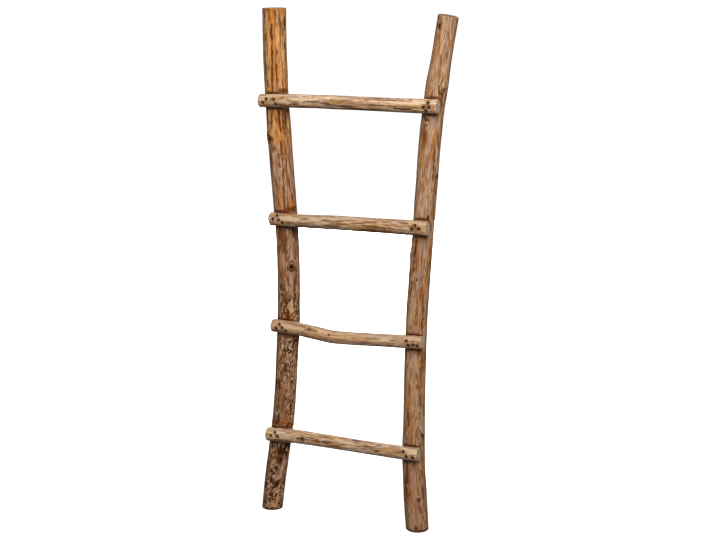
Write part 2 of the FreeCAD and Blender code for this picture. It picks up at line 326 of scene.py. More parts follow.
def skin_at(pole, along, bearing):
    """A pole's surface at places on it: its radius there, and what its colours follow.

    Two and three soft lobes wind along the pole; shallow flats with soft ridges are left by the drawknife;
    knots stand proud as bells, some with a hole; cracks, streaks and beetles' galleries are let in.
    """
    base = pole.radius(along)
    free = free_of_joints(pole, along)
    angle = bearing - math.pi / 2 if is_rail(pole) else -bearing - math.pi / 2
    lobes = TWO_LOBES * np.cos(2 * angle + pole.phase + along / 300)
    lobes = lobes + THREE_LOBES * np.cos(3 * angle - pole.phase + along / 240)
    radius = base * (1 + lobes * free)

    # The grain parts round each knot, as a stream does round a post.
    swerve = np.zeros_like(radius)
    knot = np.full_like(radius, 9.0)
    for k in pole.knots:
        across, ahead = turned(bearing, k.bearing) * base, along - k.along
        far = np.hypot(across, ahead * 0.8) + 1e-6
        swerve += across * np.minimum(1.0, (k.size * 1.3 / far) ** 2) * np.exp(-((far / (k.size * 4)) ** 2))
        ragged = 1 + 0.12 * np.cos(3 * np.arctan2(across, ahead) + k.along)
        if k.dark:
            knot = np.minimum(knot, far * ragged / k.size + 1.7 * (1 - k.dark))
        radius = radius + k.proud * np.exp(-((far / (k.size * 1.5)) ** 2))
        radius = radius - k.hole * (1 - smooth(0.3, 0.62, far * ragged / k.size))
    still = np.zeros_like(base)
    grain = bearing - swerve / base + 0.05 * noise(along / 130, still + pole.seed, still, pole.seed)
    gx, gy = np.sin(grain) * base, np.cos(grain) * base

    flats = np.abs(noise(gx / 15, gy / 15, along / 120, pole.seed + 11)) - 0.42
    radius = radius + FLATS_RELIEF * flats * (0.35 + 0.65 * free) - 0.15
    fine = layers(gx / 7, gy / 7, along / 46, pole.seed + 23)
    radius = radius + FINE_RELIEF * fine * (0.4 + 0.6 * free)

    # Galleries wind where a bent field of noise passes through nought.
    bent = noise(gx / 10, gy / 10, along / 17, pole.seed + 31)
    gallery = noise(gx / 7.2 + 1.5 * bent, gy / 7.2 - 1.3 * bent, along / 12.5 + 1.2 * bent, pole.seed + 37)
    eaten = gallery_amount(pole, along, bearing)
    radius = radius - GALLERY_DEPTH * eaten * (1 - smooth(0.1, 0.26, np.abs(gallery)))

    crack = np.zeros_like(radius)
    for m in pole.cracks:
        across = turned(bearing, m.bearing) * base + 1.6 * noise(along / 9, still, still, int(m.along))
        ahead = np.abs(along - m.along) / m.reach
        width = m.width * np.sqrt(np.clip(1 - ahead**2, 0, 1)) + 1e-6
        crack = np.maximum(crack, m.strength * (1 - smooth(0.35, 1.15, np.abs(across) / width)) * (ahead < 1))
    streak = lines(pole.streaks, along, bearing, base, pole.seed + 61)
    radius = radius - CRACK_DEPTH * crack - STREAK_DEPTH * streak

    rough = 0.42 * layers(gx / 5, gy / 5, along / 16, pole.seed + 53)
    # Stained patches; on the rails these include painted shadows, round the feet and above the right rail's
    # rungs.
    stain, orange, grey, pale = (
        patches(marks, along, bearing, base, rough)
        for marks in (pole.stains, pole.oranges, pole.greys, pole.pales)
    )
    low, high = AGED_BELOW.get(pole.name, AGED_NOWHERE)
    age = 1 - smooth(low, high, along + 25 * noise(gx / 30, gy / 30, along / 90, pole.seed + 67))
    place = np.stack([gx, gy, along], -1)
    return Skin(radius, place, knot, gallery, eaten, crack, stain, streak, orange, grey, pale, age)


def gallery_amount(pole, along, bearing):
    """How eaten a pole is there: only the left rail's lower half is, most in its patches of galleries."""
    if pole.name != "left_rail":
        return np.zeros_like(along)
    field = noise(np.sin(bearing) * 1.5, np.cos(bearing) * 1.5, along / 62, 71)
    scattered = 0.75 * smooth(-0.3, 0.2, field) * (1 - smooth(640, 860, along))
    ragged = 0.3 * noise(np.sin(bearing) * 4, np.cos(bearing) * 4, along / 12, 73)
    return np.maximum(scattered, patches(GALLERIES, along, bearing, pole.radius(along), ragged))


# Meshes ---------------------------------------------------------------------------------------------
def bands(rows, columns):
    """The four-sided faces between rows of vertices, each of which goes once round."""
    i, j = np.meshgrid(np.arange(rows - 1), np.arange(columns), indexing="ij")
    k = (j + 1) % columns
    corners = [i * columns + j, (i + 1) * columns + j, (i + 1) * columns + k, i * columns + k]
    return np.stack(corners, -1).reshape(-1, 4)


def pole_grid(pole):
    """A pole's closed skin as vertices and faces. Its rows run from the middle of one end, out over the
    rounded arris, along the pole and in again over the other end; each row goes once round."""
    columns = pole.columns
    bearing = np.arange(columns) * (2 * math.pi / columns)
    step = 2 * math.pi * float(pole.radius(pole.length / 2)) / columns
    inward = 1 - pole.arris / float(pole.radius(0.0))
    cap = np.linspace(inward / CAP_RINGS, inward, CAP_RINGS)
    turn = np.linspace(0, math.pi / 2, ARRIS_ROWS + 1)[1:]
    middle = np.linspace(pole.arris, pole.length - pole.arris, round(pole.length / step))[1:-1]
    arris_along, arris_in = pole.arris * (1 - np.cos(turn)), pole.arris * (1 - np.sin(turn))
    caps = np.zeros(CAP_RINGS)
    along = np.concatenate([caps, arris_along, middle, pole.length - arris_along[::-1], caps + pole.length])
    full = np.ones(len(middle))
    share = np.concatenate([cap, np.ones(len(turn)), full, np.ones(len(turn)), cap[::-1]])
    trim = np.concatenate([cap * 0, arris_in, full * 0, arris_in[::-1], cap * 0])
    a, b = np.meshgrid(along, bearing, indexing="ij")
    radius = (skin_at(pole, a, b).radius - trim[:, None]) * share[:, None]
    run, back, side = run_at(pole, along)
    out = np.sin(b)[..., None] * side[:, None] - np.cos(b)[..., None] * back[:, None]
    points = pole.heart(along)[:, None] + out * radius[..., None]
    # The sawn ends are a little uneven, and have star-shaped checks.
    for rows, sign in ((slice(0, CAP_RINGS), 1.0), (slice(-CAP_RINGS, None), -1.0)):
        if sign > 0 and is_rail(pole):
            continue  # a foot stays flat on the floor
        dip = end_check(pole, b[rows], share[rows][:, None], sign)
        points[rows] += run[rows][:, None] * (sign * dip)[..., None]
    rows = len(along)
    vertices = np.concatenate([points.reshape(-1, 3), pole.heart(np.array([0.0, pole.length]))])
    quads = bands(rows, columns)[:, (0, 3, 2, 1)]
    j, k = np.arange(columns), (np.arange(columns) + 1) % columns
    first, last = len(vertices) - 2, len(vertices) - 1
    low = np.stack([k, j, np.full(columns, first)], -1)
    high = np.stack([(rows - 1) * columns + j, (rows - 1) * columns + k, np.full(columns, last)], -1)
    sawn = (quads[:, 0] // columns < CAP_RINGS - 1) | (quads[:, 0] // columns >= rows - CAP_RINGS)
    if not is_rail(pole):
        quads, low, high = quads[:, ::-1], low[:, ::-1], high[:, ::-1]
    return vertices, [quads, low, high], np.concatenate([sawn, np.ones(2 * columns, bool)])


def end_check(pole, bearing, share, sign):
    """How deep a sawn end is let in: three checks like narrow wedges from the heart, and saw marks."""
    dip = SAW_MARKS * np.sin(share * 9 + 2 * bearing + pole.phase)
    for n in range(3):
        middle = 360 * (n / 3 + 0.13 * math.sin(pole.seed + n * 2.3 + sign))
        reach = 0.55 + 0.35 * math.sin(pole.seed * 1.7 + n + sign) ** 2
        wide = np.abs(turned(bearing, middle)) * share
        dip = dip + CHECK_DEPTH * (1 - smooth(0.0, 0.085, wide)) * (1 - smooth(reach * 0.7, reach, share))
    return dip + SAW_MARKS


def mesh_from(name, vertices, groups):
    """A mesh in metres from vertices in millimetres and groups of equal-sided faces."""
    mesh = bpy.data.meshes.new(name)
    corners = np.concatenate([g.ravel() for g in groups])
    totals = np.concatenate([np.full(len(g), g.shape[1]) for g in groups])
    mesh.vertices.add(len(vertices))
    mesh.vertices.foreach_set("co", (vertices * MM).astype(np.float32).ravel())
    mesh.loops.add(len(corners))
    mesh.loops.foreach_set("vertex_index", corners.astype(np.int32))
    mesh.polygons.add(len(totals))
    mesh.polygons.foreach_set("loop_start", (np.cumsum(totals) - totals).astype(np.int32))
    mesh.update(calc_edges=True)
    mesh.validate()
    return mesh


def nail_hole(place):
    """What a nail takes out of the wood, as one closed mesh: its pit and head, and its tapering shank.
    It is four square rings along +Y, joined each to the next and closed at both ends."""
    head, shank, tip = (w / 2 + NAIL_CLEARANCE for w in (NAIL_HEAD_WIDTH, NAIL_SHANK_WIDTH, NAIL_TIP_WIDTH))
    depths = (-PIT_DEPTH, NAIL_HEAD_THICKNESS, NAIL_HEAD_THICKNESS, NAIL_LENGTH + NAIL_CLEARANCE)
    corners = np.array([(-1, -1), (1, -1), (1, 1), (-1, 1)])
    rings = [
        np.stack([corners[:, 0] * half, np.full(4, y), corners[:, 1] * half], -1)
        for y, half in zip(depths, (head, head, shank, tip))
    ]
    ends = np.array([(0, 1, 2, 3), (15, 14, 13, 12)])
    return np.concatenate(rings) + place, [bands(4, 4), ends]


def seat(rung, stretch):
    """A saddle's middle line, as two places and its direction, and its radius. Its floor is SEAT_GAP behind
    the rung's straight stretch."""
    low, high = rung.heart(np.array(stretch))
    shift = np.array([0.0, SEAT_GAP - SADDLE_EASE, 0.0])
    return low + shift, high + shift, unit(high - low), float(rung.radius(sum(stretch) / 2)) + SADDLE_EASE


def gouge(rung, stretch):
    """What a rung's saddle takes out of a rail: a cylinder that runs on past both ends of its stretch."""
    low, high, run, radius = seat(rung, stretch)
    angle = np.arange(GOUGE_COLUMNS) * (2 * math.pi / GOUGE_COLUMNS)
    up = np.cross(run, (0.0, 1.0, 0.0))
    ring = radius * (np.sin(angle)[:, None] * up - np.cos(angle)[:, None] * np.cross(up, run))
    vertices = np.concatenate([low - run * SADDLE_OVERRUN + ring, high + run * SADDLE_OVERRUN + ring])
    end = np.arange(GOUGE_COLUMNS)[None]
    return vertices, [bands(2, GOUGE_COLUMNS), end, end[:, ::-1] + GOUGE_COLUMNS]


def placed(name, data):
    """An object of this data, in the scene."""
    made = bpy.data.objects.new(name, data)
    bpy.context.scene.collection.objects.link(made)
    return made


def cut_out(piece, solids):
    """Takes separate solids out of the piece, whose new faces get the second material."""
    vertices, groups, count = [], [], 0
    for v, faces in solids:
        vertices.append(v)
        groups.extend(f + count for f in faces)
        count += len(v)
    cutter = mesh_from("cutter", np.concatenate(vertices), groups)
    cutter.polygons.foreach_set("material_index", np.ones(len(cutter.polygons), np.int32))
    tool = placed("tool", cutter)
    for material in piece.data.materials:
        cutter.materials.append(material)
    change = piece.modifiers.new("cut", "BOOLEAN")
    change.operation, change.solver, change.object = "DIFFERENCE", "MANIFOLD", tool
    shaped = bpy.data.meshes.new_from_object(piece.evaluated_get(bpy.context.evaluated_depsgraph_get()))
    piece.modifiers.clear()
    old, piece.data = piece.data, shaped
    bpy.data.meshes.remove(old)
    bpy.data.objects.remove(tool)
    bpy.data.meshes.remove(cutter)


def write(mesh, name, kind, values):
    """Keeps a value for each vertex under a name that the materials read."""
    attribute = mesh.attributes.new(name, kind, "POINT")
    field = "vector" if kind == "FLOAT_VECTOR" else "value"
    attribute.data.foreach_set(field, np.ascontiguousarray(values, np.float32).ravel())


def dress(piece, pole, seats, nails):
    """Gives a finished pole what its materials read: its place in the grain, its marks, and how near it is to
    a saddle, where they paint shade.
    """
    mesh = piece.data
    points = np.empty(len(mesh.vertices) * 3, np.float32)
    mesh.vertices.foreach_get("co", points)
    points = points.reshape(-1, 3).astype(float) / MM
    along, bearing, far = unrolled(pole, points)
    skin = skin_at(pole, np.clip(along, 0, pole.length), bearing)
    depth = np.clip(far / skin.radius, 0, 1)[:, None]
    write(mesh, "place", "FLOAT_VECTOR", skin.place * np.concatenate([depth, depth, depth * 0 + 1], 1))
    write(mesh, "marks", "FLOAT_VECTOR", np.stack([skin.knot, skin.crack, skin.stain], -1))
    write(mesh, "drawn", "FLOAT_VECTOR", np.stack([skin.streak, skin.orange, skin.grey], -1))
    halo = np.zeros(len(points))
    ragged = 1.6 * layers(points[:, 0] / 3.5, points[:, 1] / 9, points[:, 2] / 3.5, pole.seed + 83)
    for place in nails:
        gone = np.hypot(points[:, 0] - place[0], points[:, 2] - place[2]) + ragged
        in_reach = points[:, 1] < place[1] + NAIL_HALO_DEPTH
        halo = np.maximum(halo, (1 - smooth(*NAIL_STAIN_EDGE, gone)) * in_reach)
    write(mesh, "worn", "FLOAT_VECTOR", np.stack([skin.age, halo, skin.pale], -1))
    # How near each place is to a saddle's face; the materials paint shade by it.
    near = np.full(len(points), 1e3)
    for middle, _, run, radius in seats:
        out = points - middle
        out = out - run * (out @ run)[:, None]
        near = np.minimum(near, np.abs(np.linalg.norm(out, axis=1) - radius))
    write(mesh, "winding", "FLOAT_VECTOR", np.stack([skin.gallery, skin.eaten, near], -1))
    mesh.polygons.foreach_set("use_smooth", np.ones(len(mesh.polygons), bool))
    mesh.set_sharp_from_angle(angle=math.radians(SMOOTHED_UP_TO))
    mesh.update()


# Materials ------------------------------------------------------------------------------------------
def put(tree, target, value):
    """Links a socket to an input, or sets the input."""
    if isinstance(value, bpy.types.NodeSocket):
        tree.links.new(value, target)
    else:
        target.default_value = value


def node(tree, kind, inputs=(), **settings):
    """A node with settings, and with inputs given by name or number."""
    made = tree.nodes.new(kind)
    for key, value in settings.items():
        setattr(made, key, value)
    for key, value in dict(inputs).items():
        put(tree, made.inputs[key], value)
    return made


def maths(tree, operation, *values):
    return node(tree, "ShaderNodeMath", enumerate(values), operation=operation).outputs[0]


def mixed(tree, share, below, above):
    """A colour between below and above. Inputs 6 and 7 of a Mix node are its colours."""
    return node(tree, "ShaderNodeMix", {0: share, 6: below, 7: above}, data_type="RGBA").outputs[2]


def coated(tree, colour, *coats):
    """A colour under coats of others, each with its mask and strength."""
    for mask, strength, coat in coats:
        colour = mixed(tree, maths(tree, "MULTIPLY", mask, strength), colour, coat)
    return colour


def step_between(tree, value, low, high):
    """0 below low, 1 above high, and an S between them."""
    made = node(tree, "ShaderNodeMapRange", {0: value, 1: low, 2: high}, interpolation_type="SMOOTHSTEP")
    return made.outputs[0]


def under(tree, value, low, high):
    """1 where a value is below low, 0 where it is above high."""
    return maths(tree, "SUBTRACT", 1.0, step_between(tree, value, low, high))


def apart(tree, value, level):
    """How far a value is from a level."""
    return maths(tree, "ABSOLUTE", maths(tree, "SUBTRACT", value, level))


def parts(tree, vector):
    return node(tree, "ShaderNodeSeparateXYZ", {0: vector}).outputs[:3]


def clouds(tree, place, scale, detail):
    """Soft noise at places."""
    inputs = {"Vector": place, "Scale": scale, "Detail": detail}
    return node(tree, "ShaderNodeTexNoise", inputs).outputs[0]


def kept(tree, name):
    """A vector that dress() has kept for each vertex."""
    return node(tree, "ShaderNodeAttribute", attribute_name=name).outputs["Vector"]


def new_group(name, inputs, outputs):
    """A shader group with its sockets, whose names are given by kind, and its two end nodes' sockets."""
    tree = bpy.data.node_groups.new(name, "ShaderNodeTree")
    for direction, kinds in (("INPUT", inputs), ("OUTPUT", outputs)):
        for kind, labels in kinds.items():
            for label in labels.split(", "):
                tree.interface.new_socket(name=label, in_out=direction, socket_type=f"NodeSocket{kind}")
    return tree, tree.nodes.new("NodeGroupInput").outputs, tree.nodes.new("NodeGroupOutput").inputs


def stretched_group():
    """Stretched marks: noise drawn out along the grain, as a mask between two levels. Its place is scaled
    by 1 / Width across the grain and by 1 / (Width * Stretch) along it."""
    inputs = {"Vector": "Place", "Float": "Width, Stretch, Ragged, Low, High, Seed"}
    tree, given, out = new_group("stretched_marks", inputs, {"Float": "Mask, Height"})
    fine = maths(tree, "DIVIDE", 1.0, given["Width"])
    slow = maths(tree, "DIVIDE", fine, given["Stretch"])
    scale = node(tree, "ShaderNodeCombineXYZ", {0: fine, 1: fine, 2: slow}).outputs[0]
    scaled = node(tree, "ShaderNodeVectorMath", {0: given["Place"], 1: scale}, operation="MULTIPLY")
    inputs = {"Vector": scaled.outputs[0], "W": given["Seed"], "Scale": 1.0, "Detail": 3.0}
    inputs |= {"Roughness": 0.55, "Distortion": given["Ragged"]}
    field = node(tree, "ShaderNodeTexNoise", inputs, noise_dimensions="4D").outputs[0]
    put(tree, out["Mask"], step_between(tree, field, given["Low"], given["High"]))
    put(tree, out["Height"], field)
    return tree


def rings_group():
    """Year rings round a pole's heart: a wave of the distance from the heart, bent by slow noise, dark in
    the late wood; and rays, thin lines that run out from the heart."""
    inputs = {"Vector": "Place", "Float": "Spacing"}
    tree, given, out = new_group("year_rings", inputs, {"Float": "Late wood, Ray"})
    x, y, _ = parts(tree, given["Place"])
    flat = node(tree, "ShaderNodeCombineXYZ", {0: x, 1: y}).outputs[0]
    far = node(tree, "ShaderNodeVectorMath", {0: flat}, operation="LENGTH").outputs["Value"]
    bend = maths(tree, "MULTIPLY", clouds(tree, given["Place"], 0.05, 2.0), 9.0)
    turn = maths(tree, "DIVIDE", maths(tree, "ADD", far, bend), given["Spacing"])
    put(tree, out["Late wood"], step_between(tree, maths(tree, "FRACT", turn), 0.35, 1.0))
    along = maths(tree, "MULTIPLY", maths(tree, "ARCTAN2", x, y), 14.0)
    spoke = node(tree, "ShaderNodeCombineXYZ", {0: along, 1: maths(tree, "MULTIPLY", far, 0.06)}).outputs[0]
    put(tree, out["Ray"], step_between(tree, clouds(tree, spoke, 1.3, 2.0), 0.55, 0.7))
    return tree


# A peeled pole's look: its ground, its warm and cool woods, the colour of its streaks and of its darkest
# marks, which is also the painted shade beside the saddles, and a tint that age gives it; how much of each
# there is; and its seed.
Look = namedtuple("Look", "pale warm cool streak dark aged warmth coolness streaks seed")
# Near-black: the holes in knots and the cracks, and the painted shade on a saddle's face.
PIT = (0.012, 0.0025, 0.0005, 1.0)
GALLERY = (0.034, 0.0095, 0.0015, 1.0)
NAIL_STAIN = (0.050, 0.0115, 0.0015, 1.0)
FRESH = (0.62, 0.40, 0.225, 1.0)
DRY_SPECULAR = 0.02
IRON_SPECULAR = 0.04


def group_outputs(tree, group, values):
    """A group placed in a tree, with a value or a link for each named input."""
    made = node(tree, "ShaderNodeGroup", node_tree=group)
    for label, value in values.items():
        put(tree, made.inputs[label], value)
    return made.outputs


def stretched(tree, place, width, stretch, ragged, low, high, seed, output="Mask"):
    return group_outputs(tree, STRETCHED, {
        "Place": place, "Width": width, "Stretch": stretch, "Ragged": ragged,
        "Low": low, "High": high, "Seed": seed,
    })[output]


def ground_group():
    """Peeled wood's ground: pale, with broad warm and cool patches, drawn-out streaks and gleams, and hair
    lines of grain; each is noise stretched along the grain, at its own width."""
    tree, given, out = new_group(
        "peeled_ground",
        {"Vector": "Place", "Color": "Pale, Warm, Cool, Streak, Dark, Aged",
         "Float": "Age, Warmth, Coolness, Streaks, Seed"},
        {"Color": "Colour, Palest", "Float": "Thin, Hair, Fibre"},
    )
    place = given["Place"]
    masks = {}
    # Each mask's width, stretch, raggedness, two levels, what lowers these and by how much, and its seed.
    for name, width, stretch, ragged, low, high, amount, by, seed in (
        ("warm", 11.0, 7.0, 0.8, 0.58, 0.65, "Warmth", 0.15, 0.0),
        ("cool", 9.0, 6.0, 0.8, 0.60, 0.67, "Coolness", 0.15, 3.1),
        ("broad", 5.0, 10.0, 0.9, 0.56, 0.62, "Streaks", 0.08, 5.7),
        ("thin", 2.8, 13.0, 0.9, 0.565, 0.60, "Streaks", 0.06, 8.3),
        ("hair", 1.0, 24.0, 0.2, 0.40, 0.65, "Streaks", 0.0, 11.9),
        ("gleam", 3.4, 12.0, 0.6, 0.55, 0.62, "Streaks", 0.0, 14.2),
    ):
        lower = maths(tree, "MULTIPLY", given[amount], by)
        low, high = (maths(tree, "SUBTRACT", level, lower) for level in (low, high))
        seed = maths(tree, "ADD", given["Seed"], seed)
        masks[name] = stretched(tree, place, width, stretch, ragged, low, high, seed)
    fibre_seed = maths(tree, "ADD", given["Seed"], 17.0)
    fibre = stretched(tree, place, 0.9, 30.0, 0.2, 0.0, 1.0, fibre_seed, "Height")
    palest = mixed(tree, given["Age"], given["Pale"], given["Aged"])
    colour = coated(
        tree, palest,
        (masks["warm"], 0.9, coated(tree, given["Warm"], (given["Age"], 0.75, given["Streak"]))),
        (masks["cool"], 0.85, given["Cool"]),
        (masks["gleam"], 0.6, palest),
        (masks["hair"], 0.25, given["Streak"]),
        (masks["broad"], 0.75, given["Streak"]),
        (masks["thin"], 0.75, given["Dark"]),
    )
    given_out = {"Colour": colour, "Palest": palest, "Thin": masks["thin"], "Hair": masks["hair"]}
    for label, value in {**given_out, "Fibre": fibre}.items():
        put(tree, out[label], value)
    return tree


def marks_group():
    """A pole's own marks over its ground: tints, streaks and stained patches, among which are the rails'
    painted shadows round their feet and just above the right rail's rungs; beetles' galleries that are dark
    in their floor with pale wood left standing between them, knots with a dark core and rim, cracks,
    iron-stained rings round the nails, and painted shade on a rail's skin beside the saddles."""
    tree, given, out = new_group(
        "peeled_marks",
        {"Color": "Ground, Pale, Warm, Cool, Streak, Dark", "Vector": "Marks, Drawn, Winding, Worn"},
        {"Color": "Colour", "Float": "Let in"},
    )
    knot, crack, stain = parts(tree, given["Marks"])
    line, orange, grey = parts(tree, given["Drawn"])
    gallery, eaten, near = parts(tree, given["Winding"])
    _, halo, light = parts(tree, given["Worn"])
    ridge = maths(tree, "MULTIPLY", under(tree, apart(tree, gallery, 0.45), 0.08, 0.2), eaten)
    floor = maths(tree, "MULTIPLY", under(tree, maths(tree, "ABSOLUTE", gallery), 0.14, 0.27), eaten)
    colour = coated(
        tree, given["Ground"],
        (orange, 0.8, given["Warm"]),
        (grey, 0.75, given["Cool"]),
        (light, 0.85, given["Pale"]),
        (line, 0.95, given["Dark"]),
        # The stained patches, with the rails' painted shadows round the feet and above the right rail's
        # rungs.
        (stain, 0.9, given["Dark"]),
        (ridge, 0.7, FRESH),
        (floor, 0.93, GALLERY),
        (under(tree, knot, 0.85, 1.0), 0.45, given["Streak"]),
        (under(tree, apart(tree, knot, 1.05), 0.1, 0.32), 0.85, given["Dark"]),
        (under(tree, knot, 0.5, 0.75), 0.95, PIT),
        (crack, 0.97, PIT),
        (halo, 0.85, NAIL_STAIN),
        # Painted shade: a rail's skin is darkened within 1.5 mm of a saddle's edge, fading out by 8 mm.
        (under(tree, near, 1.5, 8.0), 0.85, given["Dark"]),
    )
    put(tree, out["Colour"], colour)
    put(tree, out["Let in"], line)
    return tree


def new_material(name):
    """A material, its tree and its Principled shader's inputs."""
    material = bpy.data.materials.new(name)
    material.use_nodes = True
    return material, material.node_tree, material.node_tree.nodes["Principled BSDF"].inputs


def surface(tree, shader, colour, roughness, specular, strength, distance, height):
    """Gives a shader its colour, its sheen, and a bump's strength, distance and height."""
    inputs = {"Strength": strength, "Distance": distance, "Height": height}
    relief = node(tree, "ShaderNodeBump", inputs).outputs[0]
    for label, value in (
        ("Base Color", colour), ("Roughness", roughness), ("Specular IOR Level", specular), ("Normal", relief)
    ):
        put(tree, shader[label], value)


def peeled_material(name, look):
    """Peeled, weathered wood: its ground with the pole's own marks over it."""
    material, tree, shader = new_material(name)
    place, marks, drawn, winding, worn = (
        kept(tree, key) for key in ("place", "marks", "drawn", "winding", "worn")
    )
    woods = {label: getattr(look, label.lower()) for label in ("Warm", "Cool", "Streak", "Dark")}
    ground = group_outputs(tree, GROUND, {
        "Place": place, **woods, "Pale": look.pale, "Aged": look.aged, "Age": parts(tree, worn)[0],
        "Warmth": look.warmth, "Coolness": look.coolness, "Streaks": look.streaks, "Seed": look.seed,
    })
    marked = group_outputs(tree, MARKS, {
        "Ground": ground["Colour"], **woods, "Pale": ground["Palest"], "Marks": marks, "Drawn": drawn,
        "Winding": winding, "Worn": worn,
    })
    roughness = maths(tree, "MULTIPLY_ADD", ground["Hair"], 0.15, 0.6)
    pressed = maths(tree, "MULTIPLY", maths(tree, "ADD", ground["Thin"], marked["Let in"]), 0.5)
    height = maths(tree, "SUBTRACT", ground["Fibre"], pressed)
    colour = marked["Colour"]
    surface(tree, shader, colour, roughness, DRY_SPECULAR, strength=0.5, distance=0.0008, height=height)
    return material


def sawn_material(name, pale, late, weathered, spacing, seed):
    """Cut wood, on sawn ends and in saddles: year rings round the heart with rays, greyed in patches, and
    painted nearly black where a saddle's face is near, as shade in the gap round the rung."""
    material, tree, shader = new_material(name)
    place = kept(tree, "place")
    rings = group_outputs(tree, RINGS, {"Place": place, "Spacing": spacing})
    grey = stretched(tree, place, 16.0, 1.5, 0.5, 0.4, 0.75, seed)
    specks = stretched(tree, place, 1.4, 3.0, 0.2, 0.45, 0.8, seed + 4)
    near = parts(tree, kept(tree, "winding"))[2]
    colour = coated(
        tree, pale,
        (rings["Late wood"], 0.65, late), (rings["Ray"], 0.25, late), (grey, 0.4, weathered),
        # Painted shade: a saddle's face, seen only in the gap round its rung, is made nearly black.
        (specks, 0.3, late), (under(tree, near, 0.5, 2.5), 0.8, PIT),
    )
    surface(tree, shader, colour, 0.75, DRY_SPECULAR, strength=0.5, distance=0.0005, height=specks)
    return material


def iron_material():
    """Old iron: nearly black, with brown rust in patches."""
    material, tree, shader = new_material("nail_iron")
    rust = clouds(tree, node(tree, "ShaderNodeTexCoord").outputs["Object"], 900.0, 4.0)
    patches = step_between(tree, rust, 0.42, 0.62)
    colour = mixed(tree, patches, (0.019, 0.0065, 0.0020, 1), (0.075, 0.021, 0.0045, 1))
    roughness = maths(tree, "MULTIPLY_ADD", patches, 0.15, 0.75)
    surface(tree, shader, colour, roughness, IRON_SPECULAR, strength=0.6, distance=0.0002, height=rust)
    return material


# The ladder -----------------------------------------------------------------------------------------
BOTTOM_RUNG_HEIGHT = 249.5
LOWER_RUNG_HEIGHT = 585.0
UPPER_RUNG_HEIGHT = 922.0
TOP_RUNG_HEIGHT = 1272.0
RUNG_HEIGHTS = (BOTTOM_RUNG_HEIGHT, LOWER_RUNG_HEIGHT, UPPER_RUNG_HEIGHT, TOP_RUNG_HEIGHT)


def marks(knots=(), streaks=(), **others):
    """A pole's knots, streaks and other marks, from rows of numbers."""
    read = {"knots": [Knot(*row) for row in knots], "streaks": [Streak(*row) for row in streaks]}
    for name in ("stains", "oranges", "greys", "pales", "cracks"):
        read[name] = [Mark(*row) for row in others.get(name, ())]
    return read


